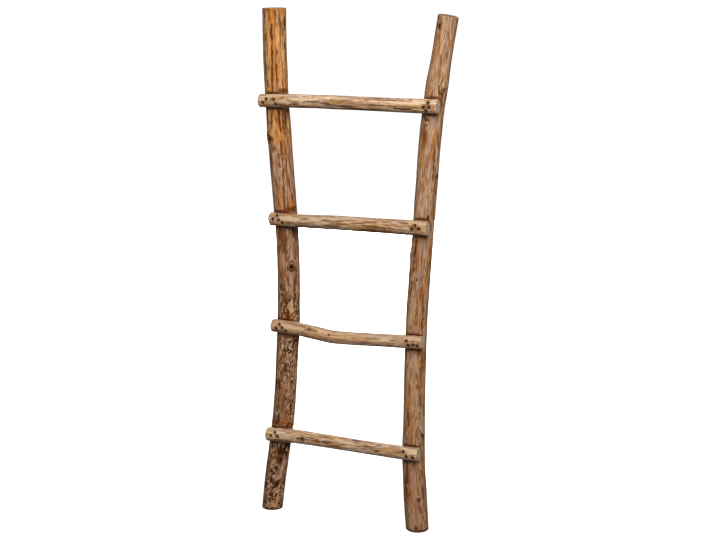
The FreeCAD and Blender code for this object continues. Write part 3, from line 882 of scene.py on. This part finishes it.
LEFT_RAIL_MARKS = marks(
    knots=[
        (87, -20, 6, 1.5, 0, 0), (140, 22, 6, 0.6, 1.2, 1), (428, 152, 9, 2.5, 0, 0.5),
        (776, 39, 10.5, 1.8, 1.6, 1), (1163, -48, 14, 3, 0, 0), (1155, -24, 8.5, 0.8, 3.5, 1),
        (616, -112, 8, 1.2, 0, 0.8), (1392, 200, 7, 1, 0.8, 1),
    ],
    streaks=[
        (1534, 1496, 1, -1, 2.2, 0.7), (1490, 1436, 9, 13, 3, 1), (1442, 1288, 13, 3, 2.4, 1),
        (1368, 1288, 3, 0, 1.6, 0.8), (1534, 1424, 29, 29, 1.5, 0.7), (1428, 1288, 31, 27, 2.2, 0.85),
        (1414, 1403, 33, 37, 2.4, 0.8), (1534, 1480, 52, 56, 1.5, 0.6), (1500, 1474, 60, 62, 2, 0.6),
        (1476, 1450, 72, 73, 3, 0.8), (1464, 1438, -20, -22, 2.5, 0.8), (1446, 1394, -14, -15, 1.6, 0.7),
        (1328, 1304, -20, -20, 3, 0.8), (1512, 1468, 82, 85, 3, 0.8), (1438, 1410, 84, 85, 3.5, 0.8),
        (1330, 1286, 60, 56, 1.8, 0.7), (1398, 1340, 46, 42, 1.2, 0.5), (1250, 1172, 27, 33, 2.8, 1),
        (1244, 1184, -6, -12, 2.8, 0.85), (1248, 1194, -38, -40, 3.5, 0.7), (1242, 1198, 50, 44, 2, 0.8),
        (1238, 1168, 62, 72, 2.6, 0.75), (1202, 1156, 44, 60, 2, 0.8), (1194, 1158, 12, 8, 1.8, 0.6),
        (1154, 1086, 27, 31, 2, 0.95), (1152, 1108, 44, 48, 1.8, 0.7), (1114, 1096, 13, 15, 2.2, 0.8),
        (1084, 1070, 16, 17, 2.4, 0.85), (1070, 1056, 30, 31, 2.2, 0.85), (1058, 1040, 26, 25, 2.2, 0.85),
        (1092, 1042, 32, 29, 1.4, 0.7), (1046, 934, 25, 20, 1.9, 0.9), (1012, 948, -8, -6, 1.4, 0.6),
        (1132, 1058, -40, -32, 3, 0.7), (1102, 1038, 72, 76, 2.2, 0.5), (1002, 958, 64, 70, 2.5, 0.8),
        (986, 938, 36, 44, 2, 0.8), (898, 860, 56, 60, 2.4, 0.95), (898, 848, -16, -20, 2.2, 0.7),
        (888, 844, 72, 76, 2, 0.7), (868, 788, 20, 15, 1.6, 0.6), (848, 788, 58, 66, 1.8, 0.7),
        (762, 698, -18, -22, 2.4, 0.7), (744, 638, 54, 58, 2.2, 0.9), (744, 688, 46, 47, 1.3, 0.7),
        (716, 638, 2, 14, 2.2, 0.8), (722, 648, -2, -16, 2, 0.7), (642, 604, 18, 20, 2.4, 0.9),
        (562, 503, 62, 40, 2.5, 0.8), (502, 460, 30, 36, 1.8, 0.8), (492, 468, 52, 50, 2, 0.8),
        (462, 398, -8, -14, 2, 0.7), (442, 390, -30, -24, 2, 0.7), (374, 298, -14, -6, 2, 0.75),
        (382, 308, 20, 10, 1.8, 0.7), (348, 294, 56, 60, 2.6, 0.85), (222, 148, 26, 20, 1.8, 0.7),
        (218, 184, 60, 46, 2.4, 0.85), (182, 118, -14, -20, 2, 0.7), (114, 76, 6, 34, 2.8, 0.95),
        (102, 74, 52, 34, 2.6, 0.9), (72, 0, 4, 8, 2, 0.8), (72, 0, 22, 22, 1.6, 0.7),
        (66, 0, 40, 36, 1.8, 0.7), (62, 4, 58, 60, 1.6, 0.6), (1480, 1300, 140, 150, 2.2, 0.8),
        (1230, 1020, -120, -130, 2.4, 0.8), (1500, 1330, -150, -145, 2, 0.7), (1200, 960, 170, 160, 2.6, 0.8),
        (860, 640, -100, -110, 2.4, 0.8), (860, 660, 140, 150, 2.2, 0.7), (500, 300, -150, -140, 2.2, 0.7),
    ],
    stains=[
        # The first row darkens all round the foot's lowest 9 mm or so: painted contact shadow where the rail
        # stands on the floor.
        (1, 20, 9, 400, 0.95), (345, 20, 50, 30, 0.5), (862, 50, 56, 20, 0.4), (1294, 64, 9, 24, 0.95),
        (1292, 8, 5, 30, 0.55), (1213, 56, 36, 9, 0.6), (1166, -34, 14, 10, 0.8), (1128, -8, 14, 11, 0.75),
        (945, 72, 12, 16, 0.95), (946, 40, 8, 10, 0.7), (944, 0, 5, 24, 0.6), (872, 4, 34, 13, 0.85),
        (836, 4, 24, 12, 0.85), (800, 20, 14, 10, 0.5), (764, 58, 8, 9, 0.7), (664, -24, 10, 8, 0.6),
        (648, -8, 10, 9, 0.6), (608, 30, 8, 28, 0.7), (520, 8, 10, 8, 0.4), (475, 42, 4, 9, 0.9),
        (414, -18, 12, 9, 0.6), (418, 58, 7, 6, 0.8), (318, -2, 7, 6, 0.8), (326, 56, 9, 6, 0.7),
        (285, 10, 8, 26, 0.65), (284, 60, 8, 16, 0.7), (88, 22, 8, 12, 0.7), (52, 30, 5, 10, 0.5),
        (1340, -140, 40, 10, 0.6), (1000, 140, 50, 12, 0.6), (700, -160, 60, 12, 0.6),
    ],
    oranges=[
        (1420, 17, 130, 7, 1), (1510, 10, 30, 8, 0.8), (1340, 60, 40, 8, 0.5), (1152, 14, 13, 15, 1),
        (1190, 30, 22, 10, 0.6), (990, 4, 60, 9, 0.7), (960, 60, 24, 12, 0.7), (870, -8, 30, 8, 0.5),
        (790, -10, 30, 9, 0.6), (690, 4, 30, 9, 0.5), (628, 40, 16, 12, 0.6), (440, -16, 30, 9, 0.9),
        (370, -16, 24, 8, 0.9), (288, 30, 10, 22, 0.6), (40, 34, 30, 10, 0.6), (1400, -130, 90, 12, 0.7),
        (1100, 170, 80, 14, 0.6),
    ],
    greys=[
        (1400, -42, 100, 9, 0.6), (1350, 94, 70, 9, 0.7), (1060, 84, 80, 10, 0.7), (860, 84, 60, 10, 0.6),
        (440, 60, 40, 10, 0.8), (700, 90, 50, 10, 0.6), (150, 70, 40, 9, 0.5), (180, -40, 40, 9, 0.5),
    ],
    pales=[
        (1400, 45, 100, 6, 0.5), (1430, -6, 80, 5, 0.4), (1170, -12, 14, 8, 0.5), (1080, 0, 70, 10, 0.45),
        (860, 41, 50, 6, 0.7), (700, 36, 60, 6, 0.8), (512, 24, 20, 3, 0.7), (490, 44, 20, 6, 0.6),
        (206, 50, 14, 4, 0.9), (60, 48, 50, 3, 0.6), (330, 24, 30, 4, 0.6), (400, 14, 20, 5, 0.4),
    ],
)
RIGHT_RAIL_MARKS = marks(
    knots=[
        (304, 70, 9, 2.6, 0, 0), (836, -62, 8, 1.8, 0, 0), (987, 165, 8, 2.4, 0, 0.5),
        (1340, 62, 9, 2.5, 0, 0), (1470, -38, 5, 1.4, 0, 0), (1497, -26, 7.5, 0, 3, 1),
        (1073, 84, 4, 0, 2, 1), (843, -21, 6, 0.5, 0.6, 0.9), (770, 6, 4, 0.3, 0.6, 0.9),
        (526, 55, 7, 0.8, 0, 0.45), (101, 38, 5.5, 0.3, 1.5, 1), (14, 18, 4, 0, 1, 1),
        (652, 57, 3.6, 0.2, 0.8, 0.9), (700, -25, 4, 0.2, 0.4, 0.7), (1232, -15, 9, 0.2, 0, 0.5),
        (1210, -150, 8, 1.2, 1, 1), (560, 150, 7, 1, 0.8, 1),
    ],
    streaks=[
        (1526, 1480, 46, 52, 1.8, 0.7), (1486, 1444, 36, 54, 1.6, 0.6), (1434, 1398, 48, 52, 2, 0.8),
        (1478, 1438, -18, 0, 1.5, 0.5), (1380, 1338, 34, 22, 1.5, 0.5), (1364, 1328, 46, 30, 1.6, 0.6),
        (1354, 1316, 58, 70, 2, 0.8), (1338, 1304, 28, 40, 2.2, 0.8), (1318, 1302, 40, 62, 3, 0.8),
        (1258, 1220, 48, 52, 1.6, 0.7), (1208, 1164, -12, -16, 2.2, 0.7), (1202, 1158, 58, 66, 2.4, 0.7),
        (1152, 1060, 48, 54, 2.2, 0.95), (1132, 998, 66, 64, 1.4, 0.5), (1048, 948, 58, 60, 1.6, 0.6),
        (1072, 998, 22, 28, 1.3, 0.5), (1022, 958, 30, 38, 1.2, 0.5), (890, 844, -16, -18, 3, 0.95),
        (838, 788, -18, -20, 2.8, 0.95), (842, 794, -4, -4, 1.6, 0.7), (882, 818, 24, 20, 1.4, 0.5),
        (870, 836, 66, 70, 2.6, 0.7), (828, 764, 60, 58, 2, 0.5), (766, 714, -24, -22, 2.6, 0.8),
        (762, 698, 0, 2, 1.5, 0.6), (742, 698, 14, 16, 1.4, 0.6), (732, 688, 30, 34, 1.4, 0.6),
        (730, 662, 48, 52, 2.8, 0.75), (648, 610, 50, 56, 2.8, 0.8), (642, 604, -2, 0, 1.6, 0.5),
        (558, 498, 56, 60, 2.8, 0.6), (507, 438, 52, 58, 2.4, 0.6), (494, 474, 27, 28, 1.8, 0.7),
        (458, 442, 30, 31, 2, 0.75), (492, 468, -2, -1, 1.6, 0.6), (458, 418, -6, -4, 1.8, 0.7),
        (427, 382, 54, 56, 2.8, 0.8), (374, 328, -8, -4, 2.6, 0.8), (332, 290, 38, 76, 2, 0.85),
        (332, 294, 40, 34, 1.6, 0.6), (298, 286, 36, 52, 1.8, 0.6), (358, 344, 38, 56, 1.8, 0.6),
        (352, 328, 60, 66, 1.6, 0.5), (302, 282, -14, -12, 2, 0.7), (220, 148, -12, -14, 2.6, 0.95),
        (178, 98, -26, -24, 2.6, 0.9), (198, 108, -2, -6, 1.5, 0.6), (212, 130, 33, 35, 1.3, 0.7),
        (194, 168, 66, 70, 3, 0.7), (152, 58, 64, 68, 2, 0.8), (100, 58, 32, 40, 1.4, 0.7),
        (88, 22, 40, 66, 1.8, 0.75), (98, 38, 26, 18, 1.2, 0.5), (102, 18, -30, -22, 1.8, 0.6),
        (92, 28, 74, 80, 1.8, 0.5), (1450, 1320, 150, 140, 2.2, 0.8), (1240, 1000, -130, -120, 2.2, 0.7),
        (880, 640, 170, 160, 2.4, 0.8), (540, 300, -110, -120, 2.2, 0.7), (200, 20, 160, 150, 2.2, 0.7),
    ],
    stains=[
        # The first row darkens all round the foot's lowest 9 mm or so: painted contact shadow where the rail
        # stands on the floor.
        (1, 20, 9, 400, 0.95), (1322, 56, 14, 10, 0.55), (1252, 12, 6, 14, 0.5), (1185, -14, 40, 13, 0.55),
        # The thin rows at 951, 604 and 269 here, and at 1303 below, lie just above each rung: painted shadow
        # in the saddles' gaps.
        (850, -20, 10, 6, 0.7), (951, 8, 4, 26, 0.85), (604, 8, 4, 28, 0.9), (269, 18, 4, 26, 0.9),
        (1303, 24, 3.5, 24, 0.7), (276, -12, 8, 8, 0.6), (216, -20, 7, 9, 0.6), (1180, -140, 40, 10, 0.6),
        (400, 140, 50, 12, 0.6),
    ],
    oranges=[
        (1450, -12, 70, 9, 0.6), (1180, -14, 44, 16, 0.9), (1190, 60, 30, 9, 0.8), (1110, -14, 30, 10, 0.7),
        (860, -8, 50, 9, 0.85), (866, 68, 24, 9, 0.8), (775, 58, 24, 9, 0.7), (740, 52, 60, 7, 0.6),
        (524, 56, 16, 7, 0.9), (640, 54, 24, 7, 0.7), (470, 54, 50, 8, 0.6), (405, -10, 24, 12, 0.85),
        (330, 0, 40, 10, 0.7), (120, 20, 90, 20, 0.45), (200, -16, 40, 8, 0.6), (700, -40, 60, 10, 0.5),
        (460, -30, 60, 9, 0.5),
    ],
    greys=[
        (1240, 30, 30, 10, 0.8), (1160, 16, 50, 8, 0.6), (1090, 34, 60, 7, 0.6), (966, 34, 16, 7, 0.8),
        (870, 18, 30, 8, 0.85), (770, 16, 60, 8, 0.7), (622, 20, 16, 9, 0.8), (560, 10, 30, 9, 0.5),
        (160, 14, 50, 7, 0.5), (1420, 30, 60, 8, 0.4),
    ],
    pales=[
        (1350, 30, 26, 3, 0.7), (1030, 22, 50, 3, 0.7), (990, 32, 30, 3, 0.6), (925, 56, 34, 5, 1),
        (880, 50, 60, 4, 0.6), (490, 24, 60, 5, 0.7), (1480, -4, 50, 5, 0.5), (300, 24, 30, 4, 0.5),
        (820, 34, 30, 4, 0.5), (1400, -18, 60, 7, 0.5),
    ],
    cracks=[(953, 40, 8, 4.5, 1), (1073, 84, 2.5, 7, 0.9)],
)
TOP_RUNG_MARKS = marks(
    streaks=[
        (198, 150, 6, 4, 1.4, 0.9), (176, 143, -6, -10, 1.2, 0.7), (154, 145, 2, -8, 1.8, 0.9),
        (232, 198, -18, -6, 1.8, 0.8), (312, 238, -26, -24, 1.8, 0.75), (402, 316, -6, -8, 1.7, 0.85),
        (507, 398, -12, -4, 1.3, 0.7), (132, 98, -26, -30, 2.2, 0.8), (522, 438, -36, -38, 1.6, 0.6),
        (120, 70, 18, 14, 1.2, 0.4), (380, 250, -44, -40, 1.6, 0.6),
    ],
    stains=[
        (75, -30, 24, 7, 0.55), (220, -12, 18, 5, 0.6), (280, -24, 26, 5, 0.65), (350, -52, 80, 7, 0.6),
        (524, 2, 12, 9, 0.5), (150, -52, 60, 6, 0.5),
    ],
    oranges=[
        (60, -10, 40, 8, 0.5), (330, 2, 90, 6, 0.5), (270, 56, 24, 5, 0.5), (440, 10, 80, 5, 0.4),
        (180, -30, 50, 7, 0.5),
    ],
    greys=[
        (225, -40, 30, 7, 0.7), (420, -46, 80, 7, 0.7), (140, -48, 60, 6, 0.6), (300, 70, 150, 6, 0.4),
    ],
    pales=[
        (150, 22, 60, 5, 0.7), (440, 28, 90, 3.5, 0.9), (230, 45, 80, 6, 0.6), (60, 60, 50, 8, 0.6),
    ],
    cracks=[(455, -23, 29, 3.4, 1), (428, -24, 5, 2, 0.8), (174, 6, 24, 1, 0.6)],
)
UPPER_RUNG_MARKS = marks(
    streaks=[
        (242, 170, 24, 20, 1.8, 0.9), (228, 180, -24, -14, 1.8, 0.85), (264, 198, -2, 6, 1.8, 0.8),
        (217, 194, -38, -30, 1.6, 0.7), (302, 260, 18, 14, 1.3, 0.6), (348, 298, 38, 30, 1.8, 0.75),
        (402, 298, -8, 4, 1.8, 0.7), (387, 358, 44, 40, 2, 0.6), (432, 388, -20, -12, 1.6, 0.6),
        (352, 298, -40, -34, 2, 0.6), (442, 408, 40, 42, 1.6, 0.6), (150, 100, -4, -10, 1.4, 0.5),
    ],
    stains=[
        (74, -14, 20, 6, 0.65), (88, -32, 6, 5, 0.7), (212, -14, 20, 6, 0.5), (462, 10, 17, 11, 0.7),
        (350, -34, 50, 9, 0.5), (340, -8, 40, 6, 0.45), (110, -30, 30, 8, 0.5), (450, -54, 50, 8, 0.6),
    ],
    oranges=[
        (350, -10, 70, 9, 0.9), (465, 14, 28, 14, 1), (370, 36, 20, 5, 0.6), (240, 4, 40, 6, 0.5),
        (300, 30, 40, 5, 0.5),
    ],
    greys=[
        (150, -36, 50, 8, 0.7), (130, -10, 30, 7, 0.5), (430, -48, 40, 7, 0.7), (150, 62, 80, 6, 0.5),
    ],
    pales=[
        (180, 42, 60, 5, 0.7), (60, 30, 40, 8, 0.6), (470, 50, 30, 8, 0.7), (290, 58, 80, 6, 0.5),
    ],
)
LOWER_RUNG_MARKS = marks(
    knots=[
        (190, 30, 3.4, 0.3, 0.8, 0.9), (125, 38, 3.4, 0.2, 0.6, 0.8),
    ],
    streaks=[
        (152, 108, 30, 24, 1.6, 0.6), (192, 148, -4, 2, 1.3, 0.5), (232, 190, 36, 30, 1.2, 0.4),
        (112, 90, 48, 56, 2, 0.7), (402, 328, -6, -4, 1.3, 0.4), (330, 240, -22, -20, 1.3, 0.4),
    ],
    stains=[
        (125, 38, 8, 3.5, 0.5), (300, -50, 120, 6, 0.5), (380, -36, 20, 5, 0.5), (72, 62, 20, 5, 0.5),
        (130, -50, 60, 6, 0.5),
    ],
    oranges=[
        (150, 16, 60, 9, 0.8), (300, 16, 60, 9, 0.5), (50, 50, 36, 9, 0.6), (220, 40, 50, 8, 0.4),
    ],
    greys=[
        (260, -28, 60, 9, 0.6), (375, -20, 30, 8, 0.6), (340, 56, 70, 6, 0.6), (420, 40, 20, 8, 0.5),
    ],
    pales=[
        (62, 22, 30, 8, 0.7), (455, 50, 30, 9, 0.7), (260, 40, 70, 6, 0.4),
    ],
)
BOTTOM_RUNG_MARKS = marks(
    knots=[
        (112, 3, 5, 0.4, 1.2, 0.9), (125, 4, 6.5, 0.5, 1.8, 1), (367, -2, 3.8, 0.2, 0.6, 0.9),
        (455, 20, 3.6, 0.2, 0.5, 0.8),
    ],
    streaks=[
        (224, 138, 10, 4, 2.2, 0.9), (112, 82, 6, 0, 1.2, 0.7), (188, 138, 16, 22, 1.5, 0.7),
        (292, 198, -18, -14, 1.6, 0.6), (354, 298, 24, 20, 1.8, 0.8), (332, 288, 40, 44, 1.6, 0.7),
        (382, 352, -2, -4, 2.2, 0.8), (442, 398, -20, -28, 1.5, 0.6), (458, 438, 22, 20, 2.2, 0.8),
    ],
    stains=[
        (138, 12, 8, 5, 0.6), (205, 6, 16, 5, 0.7), (300, 72, 18, 6, 0.8), (228, -16, 30, 6, 0.5),
        (340, 24, 16, 5, 0.4), (300, -52, 100, 6, 0.5),
    ],
    oranges=[
        (160, -4, 50, 8, 0.7), (232, -20, 40, 8, 0.8), (402, 26, 14, 7, 1), (100, 30, 16, 8, 0.5),
        (420, 0, 60, 8, 0.5),
    ],
    greys=[
        (340, -30, 50, 9, 0.7), (70, 8, 12, 7, 0.5), (290, -44, 40, 6, 0.6), (300, 54, 60, 6, 0.5),
    ],
    pales=[
        (75, 8, 16, 6, 0.7), (240, 32, 60, 5, 0.5), (40, 34, 24, 7, 0.6), (480, 40, 20, 8, 0.7),
    ],
)
GALLERIES = [Mark(*row) for row in (
    (536, 22, 42, 34, 1), (476, 42, 14, 9, 1), (410, -20, 34, 12, 0.9), (420, 60, 34, 12, 0.7),
    (310, -14, 36, 14, 0.9), (300, 60, 44, 14, 0.9), (190, 36, 50, 30, 1), (90, 16, 64, 34, 1),
    (640, -8, 26, 14, 0.8), (700, -60, 60, 20, 0.7), (560, -120, 80, 40, 0.9), (180, 170, 110, 50, 1),
    (420, 150, 80, 40, 0.8), (90, -70, 70, 30, 0.9),
)]

LEFT_RAIL = rail_pole(
    "left_rail", -RAIL_SPACING / 2, length=1534.0, radius=34.4, course=LEFT_RAIL_COURSE, phase=0.4,
    seed=101, **LEFT_RAIL_MARKS,
)
RIGHT_RAIL = rail_pole(
    "right_rail", RAIL_SPACING / 2, length=1526.0, radius=32.0, course=RIGHT_RAIL_COURSE, phase=2.1,
    seed=202, **RIGHT_RAIL_MARKS,
)
RUNGS = (
    rung_pole(
        "top_rung", TOP_RUNG_HEIGHT, radius=20.4, course=TOP_RUNG_COURSE, left_overhang=1,
        right_overhang=-4, phase=0.9, seed=303, **TOP_RUNG_MARKS,
    ),
    rung_pole(
        "upper_middle_rung", UPPER_RUNG_HEIGHT, radius=21.4, course=UPPER_RUNG_COURSE, left_overhang=-4,
        right_overhang=-3, phase=2.2, seed=404, **UPPER_RUNG_MARKS,
    ),
    rung_pole(
        "lower_middle_rung", LOWER_RUNG_HEIGHT, radius=19.8, course=LOWER_RUNG_COURSE, left_overhang=-1,
        right_overhang=3, phase=3.7, seed=505, **LOWER_RUNG_MARKS,
    ),
    rung_pole(
        "bottom_rung", BOTTOM_RUNG_HEIGHT, radius=20.4, course=BOTTOM_RUNG_COURSE, left_overhang=-5,
        right_overhang=-2, phase=4.5, seed=606, **BOTTOM_RUNG_MARKS,
    ),
)
# Each nail's place on its joint, to the right of the rail's middle and up from the rung's heart.
NAILS = {
    "top_rung": (((-18, -3), (-8, 6), (15, 6), (21, -8)), ((2, 11), (-10, -1), (6, -1), (-3, -11))),
    "upper_middle_rung": (((-4, 12), (-15, 3), (4, 2), (15, -4)), ((-5, 10), (-14, 0), (7, 2))),
    "lower_middle_rung": (((-4, 9), (-14, -3), (6, 1), (17, -6)), ((-9, 6), (-4, -6), (11, -3), (24, -6))),
    "bottom_rung": (((4, 11), (-8, 2), (14, 2)), ((-12, 8), (0, -4), (20, -4))),
}


def nail_places(rung):
    """The middles of the sunk heads' tops on a rung, for its left and its right joint."""
    joints = []
    for rail, stretch, driven in zip((LEFT_RAIL, RIGHT_RAIL), rung.stretches, NAILS[rung.name]):
        low, high = rung.heart(np.array(stretch))
        radius = float(rung.radius(sum(stretch) / 2))
        places = []
        for right, up in driven:
            x = rail.heart(rung.height)[0] + right
            on_heart = low + (high - low) * ((x - low[0]) / (high[0] - low[0]))
            outer_edge = abs(up) + NAIL_HEAD_WIDTH / 2
            places.append(on_heart + np.array([0.0, NAIL_SUNK - math.sqrt(radius**2 - outer_edge**2), up]))
        joints.append(places)
    return joints


def make_pole(pole, skin, sawn, saddles, holes, nails):
    """A pole's piece: its skin, with its saddles and nail holes cut out, dressed and put in its node's
    place."""
    vertices, groups, sawn_faces = pole_grid(pole)
    mesh = mesh_from(pole.name, vertices, groups)
    mesh.materials.append(skin)
    mesh.materials.append(sawn)
    mesh.polygons.foreach_set("material_index", sawn_faces.astype(np.int32))
    piece = placed(f"{pole.name}_wood", mesh)
    if saddles:
        cut_out(piece, [gouge(*saddle) for saddle in saddles])
    cut_out(piece, holes)
    dress(piece, pole, [seat(*saddle) for saddle in saddles], nails)
    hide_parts(pole.name)
    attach(piece, "root")


STRETCHED = stretched_group()
RINGS = rings_group()
GROUND = ground_group()
MARKS = marks_group()

LEFT_LOOK = Look(
    pale=(0.66, 0.35, 0.135, 1), warm=(0.48, 0.165, 0.024, 1), cool=(0.33, 0.205, 0.135, 1),
    streak=(0.23, 0.068, 0.010, 1), dark=(0.090, 0.0185, 0.0020, 1), aged=(0.49, 0.31, 0.19, 1),
    warmth=0.45, coolness=0.4, streaks=0.5, seed=1.0,
)
RIGHT_LOOK = Look(
    pale=(0.56, 0.36, 0.21, 1), warm=(0.38, 0.145, 0.032, 1), cool=(0.35, 0.225, 0.17, 1),
    streak=(0.24, 0.080, 0.018, 1), dark=(0.090, 0.0200, 0.0030, 1), aged=(0.45, 0.275, 0.15, 1),
    warmth=0.5, coolness=0.5, streaks=0.2, seed=21.0,
)
RUNG_LOOK = Look(
    pale=(0.74, 0.53, 0.345, 1), warm=(0.44, 0.225, 0.080, 1), cool=(0.40, 0.265, 0.20, 1),
    streak=(0.25, 0.105, 0.036, 1), dark=(0.075, 0.0200, 0.0040, 1), aged=(0.74, 0.53, 0.345, 1),
    warmth=0.5, coolness=0.45, streaks=0.35, seed=41.0,
)
# The rungs get browner from the top one down to the middle ones.
LOWER_RUNGS_PALE = {
    "upper_middle_rung": (0.58, 0.405, 0.255, 1), "lower_middle_rung": (0.60, 0.42, 0.27, 1),
    "bottom_rung": (0.66, 0.465, 0.295, 1),
}
RUNG_SEED_STEP = 7

rail_sawn = sawn_material(
    "rail_sawn", pale=(0.34, 0.20, 0.105, 1), late=(0.20, 0.10, 0.045, 1), weathered=(0.20, 0.13, 0.08, 1),
    spacing=2.6, seed=61.0,
)
rung_sawn = sawn_material(
    "rung_sawn", pale=(0.54, 0.40, 0.30, 1), late=(0.38, 0.25, 0.17, 1), weathered=(0.40, 0.31, 0.25, 1),
    spacing=2.1, seed=71.0,
)
left_skin = peeled_material("left_rail_peeled", LEFT_LOOK)
right_skin = peeled_material("right_rail_peeled", RIGHT_LOOK)
iron = iron_material()

rail_cuts = {"left_rail": ([], []), "right_rail": ([], [])}
for number, rung in enumerate(RUNGS):
    places = nail_places(rung)
    holes = []
    for rail, stretch, joint in zip((LEFT_RAIL, RIGHT_RAIL), rung.stretches, places):
        rail_cuts[rail.name][0].append((rung, stretch))
        these = [nail_hole(place) for place in joint]
        rail_cuts[rail.name][1].extend(these)
        holes.extend(these)
    look = RUNG_LOOK._replace(seed=RUNG_LOOK.seed + RUNG_SEED_STEP * number)
    look = look._replace(pale=LOWER_RUNGS_PALE.get(rung.name, look.pale))
    skin = peeled_material(f"{rung.name}_peeled", look)
    make_pole(rung, skin, rung_sawn, [], holes, places[0] + places[1])
    for nail_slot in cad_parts[f"{rung.name}_nails"].material_slots:
        nail_slot.material = iron
for rail, skin in ((LEFT_RAIL, left_skin), (RIGHT_RAIL, right_skin)):
    saddles, holes = rail_cuts[rail.name]
    make_pole(rail, skin, rail_sawn, saddles, holes, [])


# The studio -----------------------------------------------------------------------------------------
FLOOR_GLOW = 0.72  # by the feet; it rises to 1 at GLOW_REACH
GLOW_REACH = 2.2
FLOOR_BOUNCE = 0.15
FLOOR_REACH = 8.0  # how far out the floor is level, in metres as all of the studio
BEND = 3.0  # the radius of the turn from floor to wall
WALL_TOP = 9.0
SWEEP_COLUMNS = 96
AIM = (0.0, 0.0, 0.8)  # where the lamps point
# Each lamp's name, place, width and power.
LAMPS = (
    ("key", (2.1, -3.6, 4.1), 3.0, 390),
    ("fill", (-3.6, -2.4, 1.2), 2.0, 8),
    ("rear", (-1.9, 4.4, 1.2), 2.4, 230),
)
WORLD_LIGHT = 0.10


def sweep():
    """The floor and backdrop in one: a disc that turns up into a wall all round, as a profile turned
    about the upright axis. Its profile is a line, a quarter round and a line."""
    turn = np.linspace(0, math.pi / 2, 24)
    wall = FLOOR_REACH + BEND
    level = np.linspace(0.5, FLOOR_REACH, 12)
    r = np.concatenate([level, FLOOR_REACH + BEND * np.sin(turn[1:]), [wall, wall]])
    z = np.concatenate([level * 0, BEND * (1 - np.cos(turn[1:])), [WALL_TOP - BEND, WALL_TOP]])
    around = np.arange(SWEEP_COLUMNS) * (2 * math.pi / SWEEP_COLUMNS)
    height = np.broadcast_to(z[:, None], (len(r), SWEEP_COLUMNS))
    ring = np.stack([r[:, None] * np.cos(around), r[:, None] * np.sin(around), height], -1)
    vertices = np.concatenate([ring.reshape(-1, 3), [(0.0, 0.0, 0.0)]]) / MM
    j = np.arange(SWEEP_COLUMNS)
    fan = np.stack([j, (j + 1) % SWEEP_COLUMNS, np.full(SWEEP_COLUMNS, len(vertices) - 1)], -1)
    mesh = mesh_from("sweep", vertices, [bands(len(r), SWEEP_COLUMNS), fan])
    mesh.polygons.foreach_set("use_smooth", np.ones(len(mesh.polygons), bool))
    mesh.materials.append(floor_material())
    floor = placed("floor_sweep", mesh)


def floor_material():
    """A white floor that glows faintly where the camera sees it, and gives the poles less light from below
    than its own brightness would."""
    material = bpy.data.materials.new("pale_floor")
    material.use_nodes = True
    tree = material.node_tree
    tree.nodes.clear()
    white = node(tree, "ShaderNodeBsdfDiffuse", {"Color": (0.85, 0.85, 0.85, 1)}).outputs[0]
    where = node(tree, "ShaderNodeTexCoord").outputs["Object"]
    far = node(tree, "ShaderNodeVectorMath", {0: where}, operation="LENGTH").outputs["Value"]
    rise = node(tree, "ShaderNodeMapRange", {0: far, 1: 0.3, 2: GLOW_REACH, 3: FLOOR_GLOW, 4: 1.0}).outputs[0]
    glow = node(tree, "ShaderNodeEmission", {"Color": (1, 1, 1, 1), "Strength": rise}).outputs[0]
    lit = node(tree, "ShaderNodeAddShader", {0: white, 1: glow}).outputs[0]
    grey = (FLOOR_BOUNCE, FLOOR_BOUNCE, FLOOR_BOUNCE, 1)
    unseen = node(tree, "ShaderNodeBsdfDiffuse", {"Color": grey}).outputs[0]
    seen = node(tree, "ShaderNodeLightPath").outputs["Is Camera Ray"]
    both = node(tree, "ShaderNodeMixShader", {0: seen, 1: unseen, 2: lit}).outputs[0]
    put(tree, node(tree, "ShaderNodeOutputMaterial").inputs["Surface"], both)
    return material


def turned_to(thing, way):
    """Turns a lamp or camera to look along a direction."""
    thing.rotation_mode = "QUATERNION"
    thing.rotation_quaternion = way.to_track_quat("-Z", "Y")


def lamp(name, place, width, power):
    """A square, soft lamp that the camera doesn't see."""
    data = bpy.data.lights.new(name, "AREA")
    data.shape, data.size, data.size_y, data.energy = "RECTANGLE", width, width, power
    made = placed(name, data)
    made.location = place
    made.visible_camera = False
    turned_to(made, Vector(AIM) - Vector(place))


sweep()
for settings in LAMPS:
    lamp(*settings)

scene = bpy.context.scene
world = bpy.data.worlds.new("studio")
world.use_nodes = True
world.node_tree.nodes["Background"].inputs["Color"].default_value = (1, 1, 1, 1)
world.node_tree.nodes["Background"].inputs["Strength"].default_value = WORLD_LIGHT
scene.world = world
scene.view_settings.view_transform = "Standard"

TARGET = Vector((0.0084, 0.013, 0.777))
AZIMUTH, PITCH, DISTANCE = math.radians(22.8), math.radians(12.4), 5.0
FOCAL_PIXELS, PICTURE_PIXELS = 1700, 716  # the lens's length and the picture's width, in its pixels
SENSOR_WIDTH = 36.0
camera = placed("camera", bpy.data.cameras.new("camera"))
camera.data.sensor_width, camera.data.lens = SENSOR_WIDTH, FOCAL_PIXELS / PICTURE_PIXELS * SENSOR_WIDTH
back_off = Vector((
    math.sin(AZIMUTH) * math.cos(PITCH), -math.cos(AZIMUTH) * math.cos(PITCH), math.sin(PITCH)
))
camera.location = TARGET + back_off * DISTANCE
turned_to(camera, -back_off)
camera.data.clip_start, camera.data.clip_end = 0.05, 100.0
scene.camera = camera
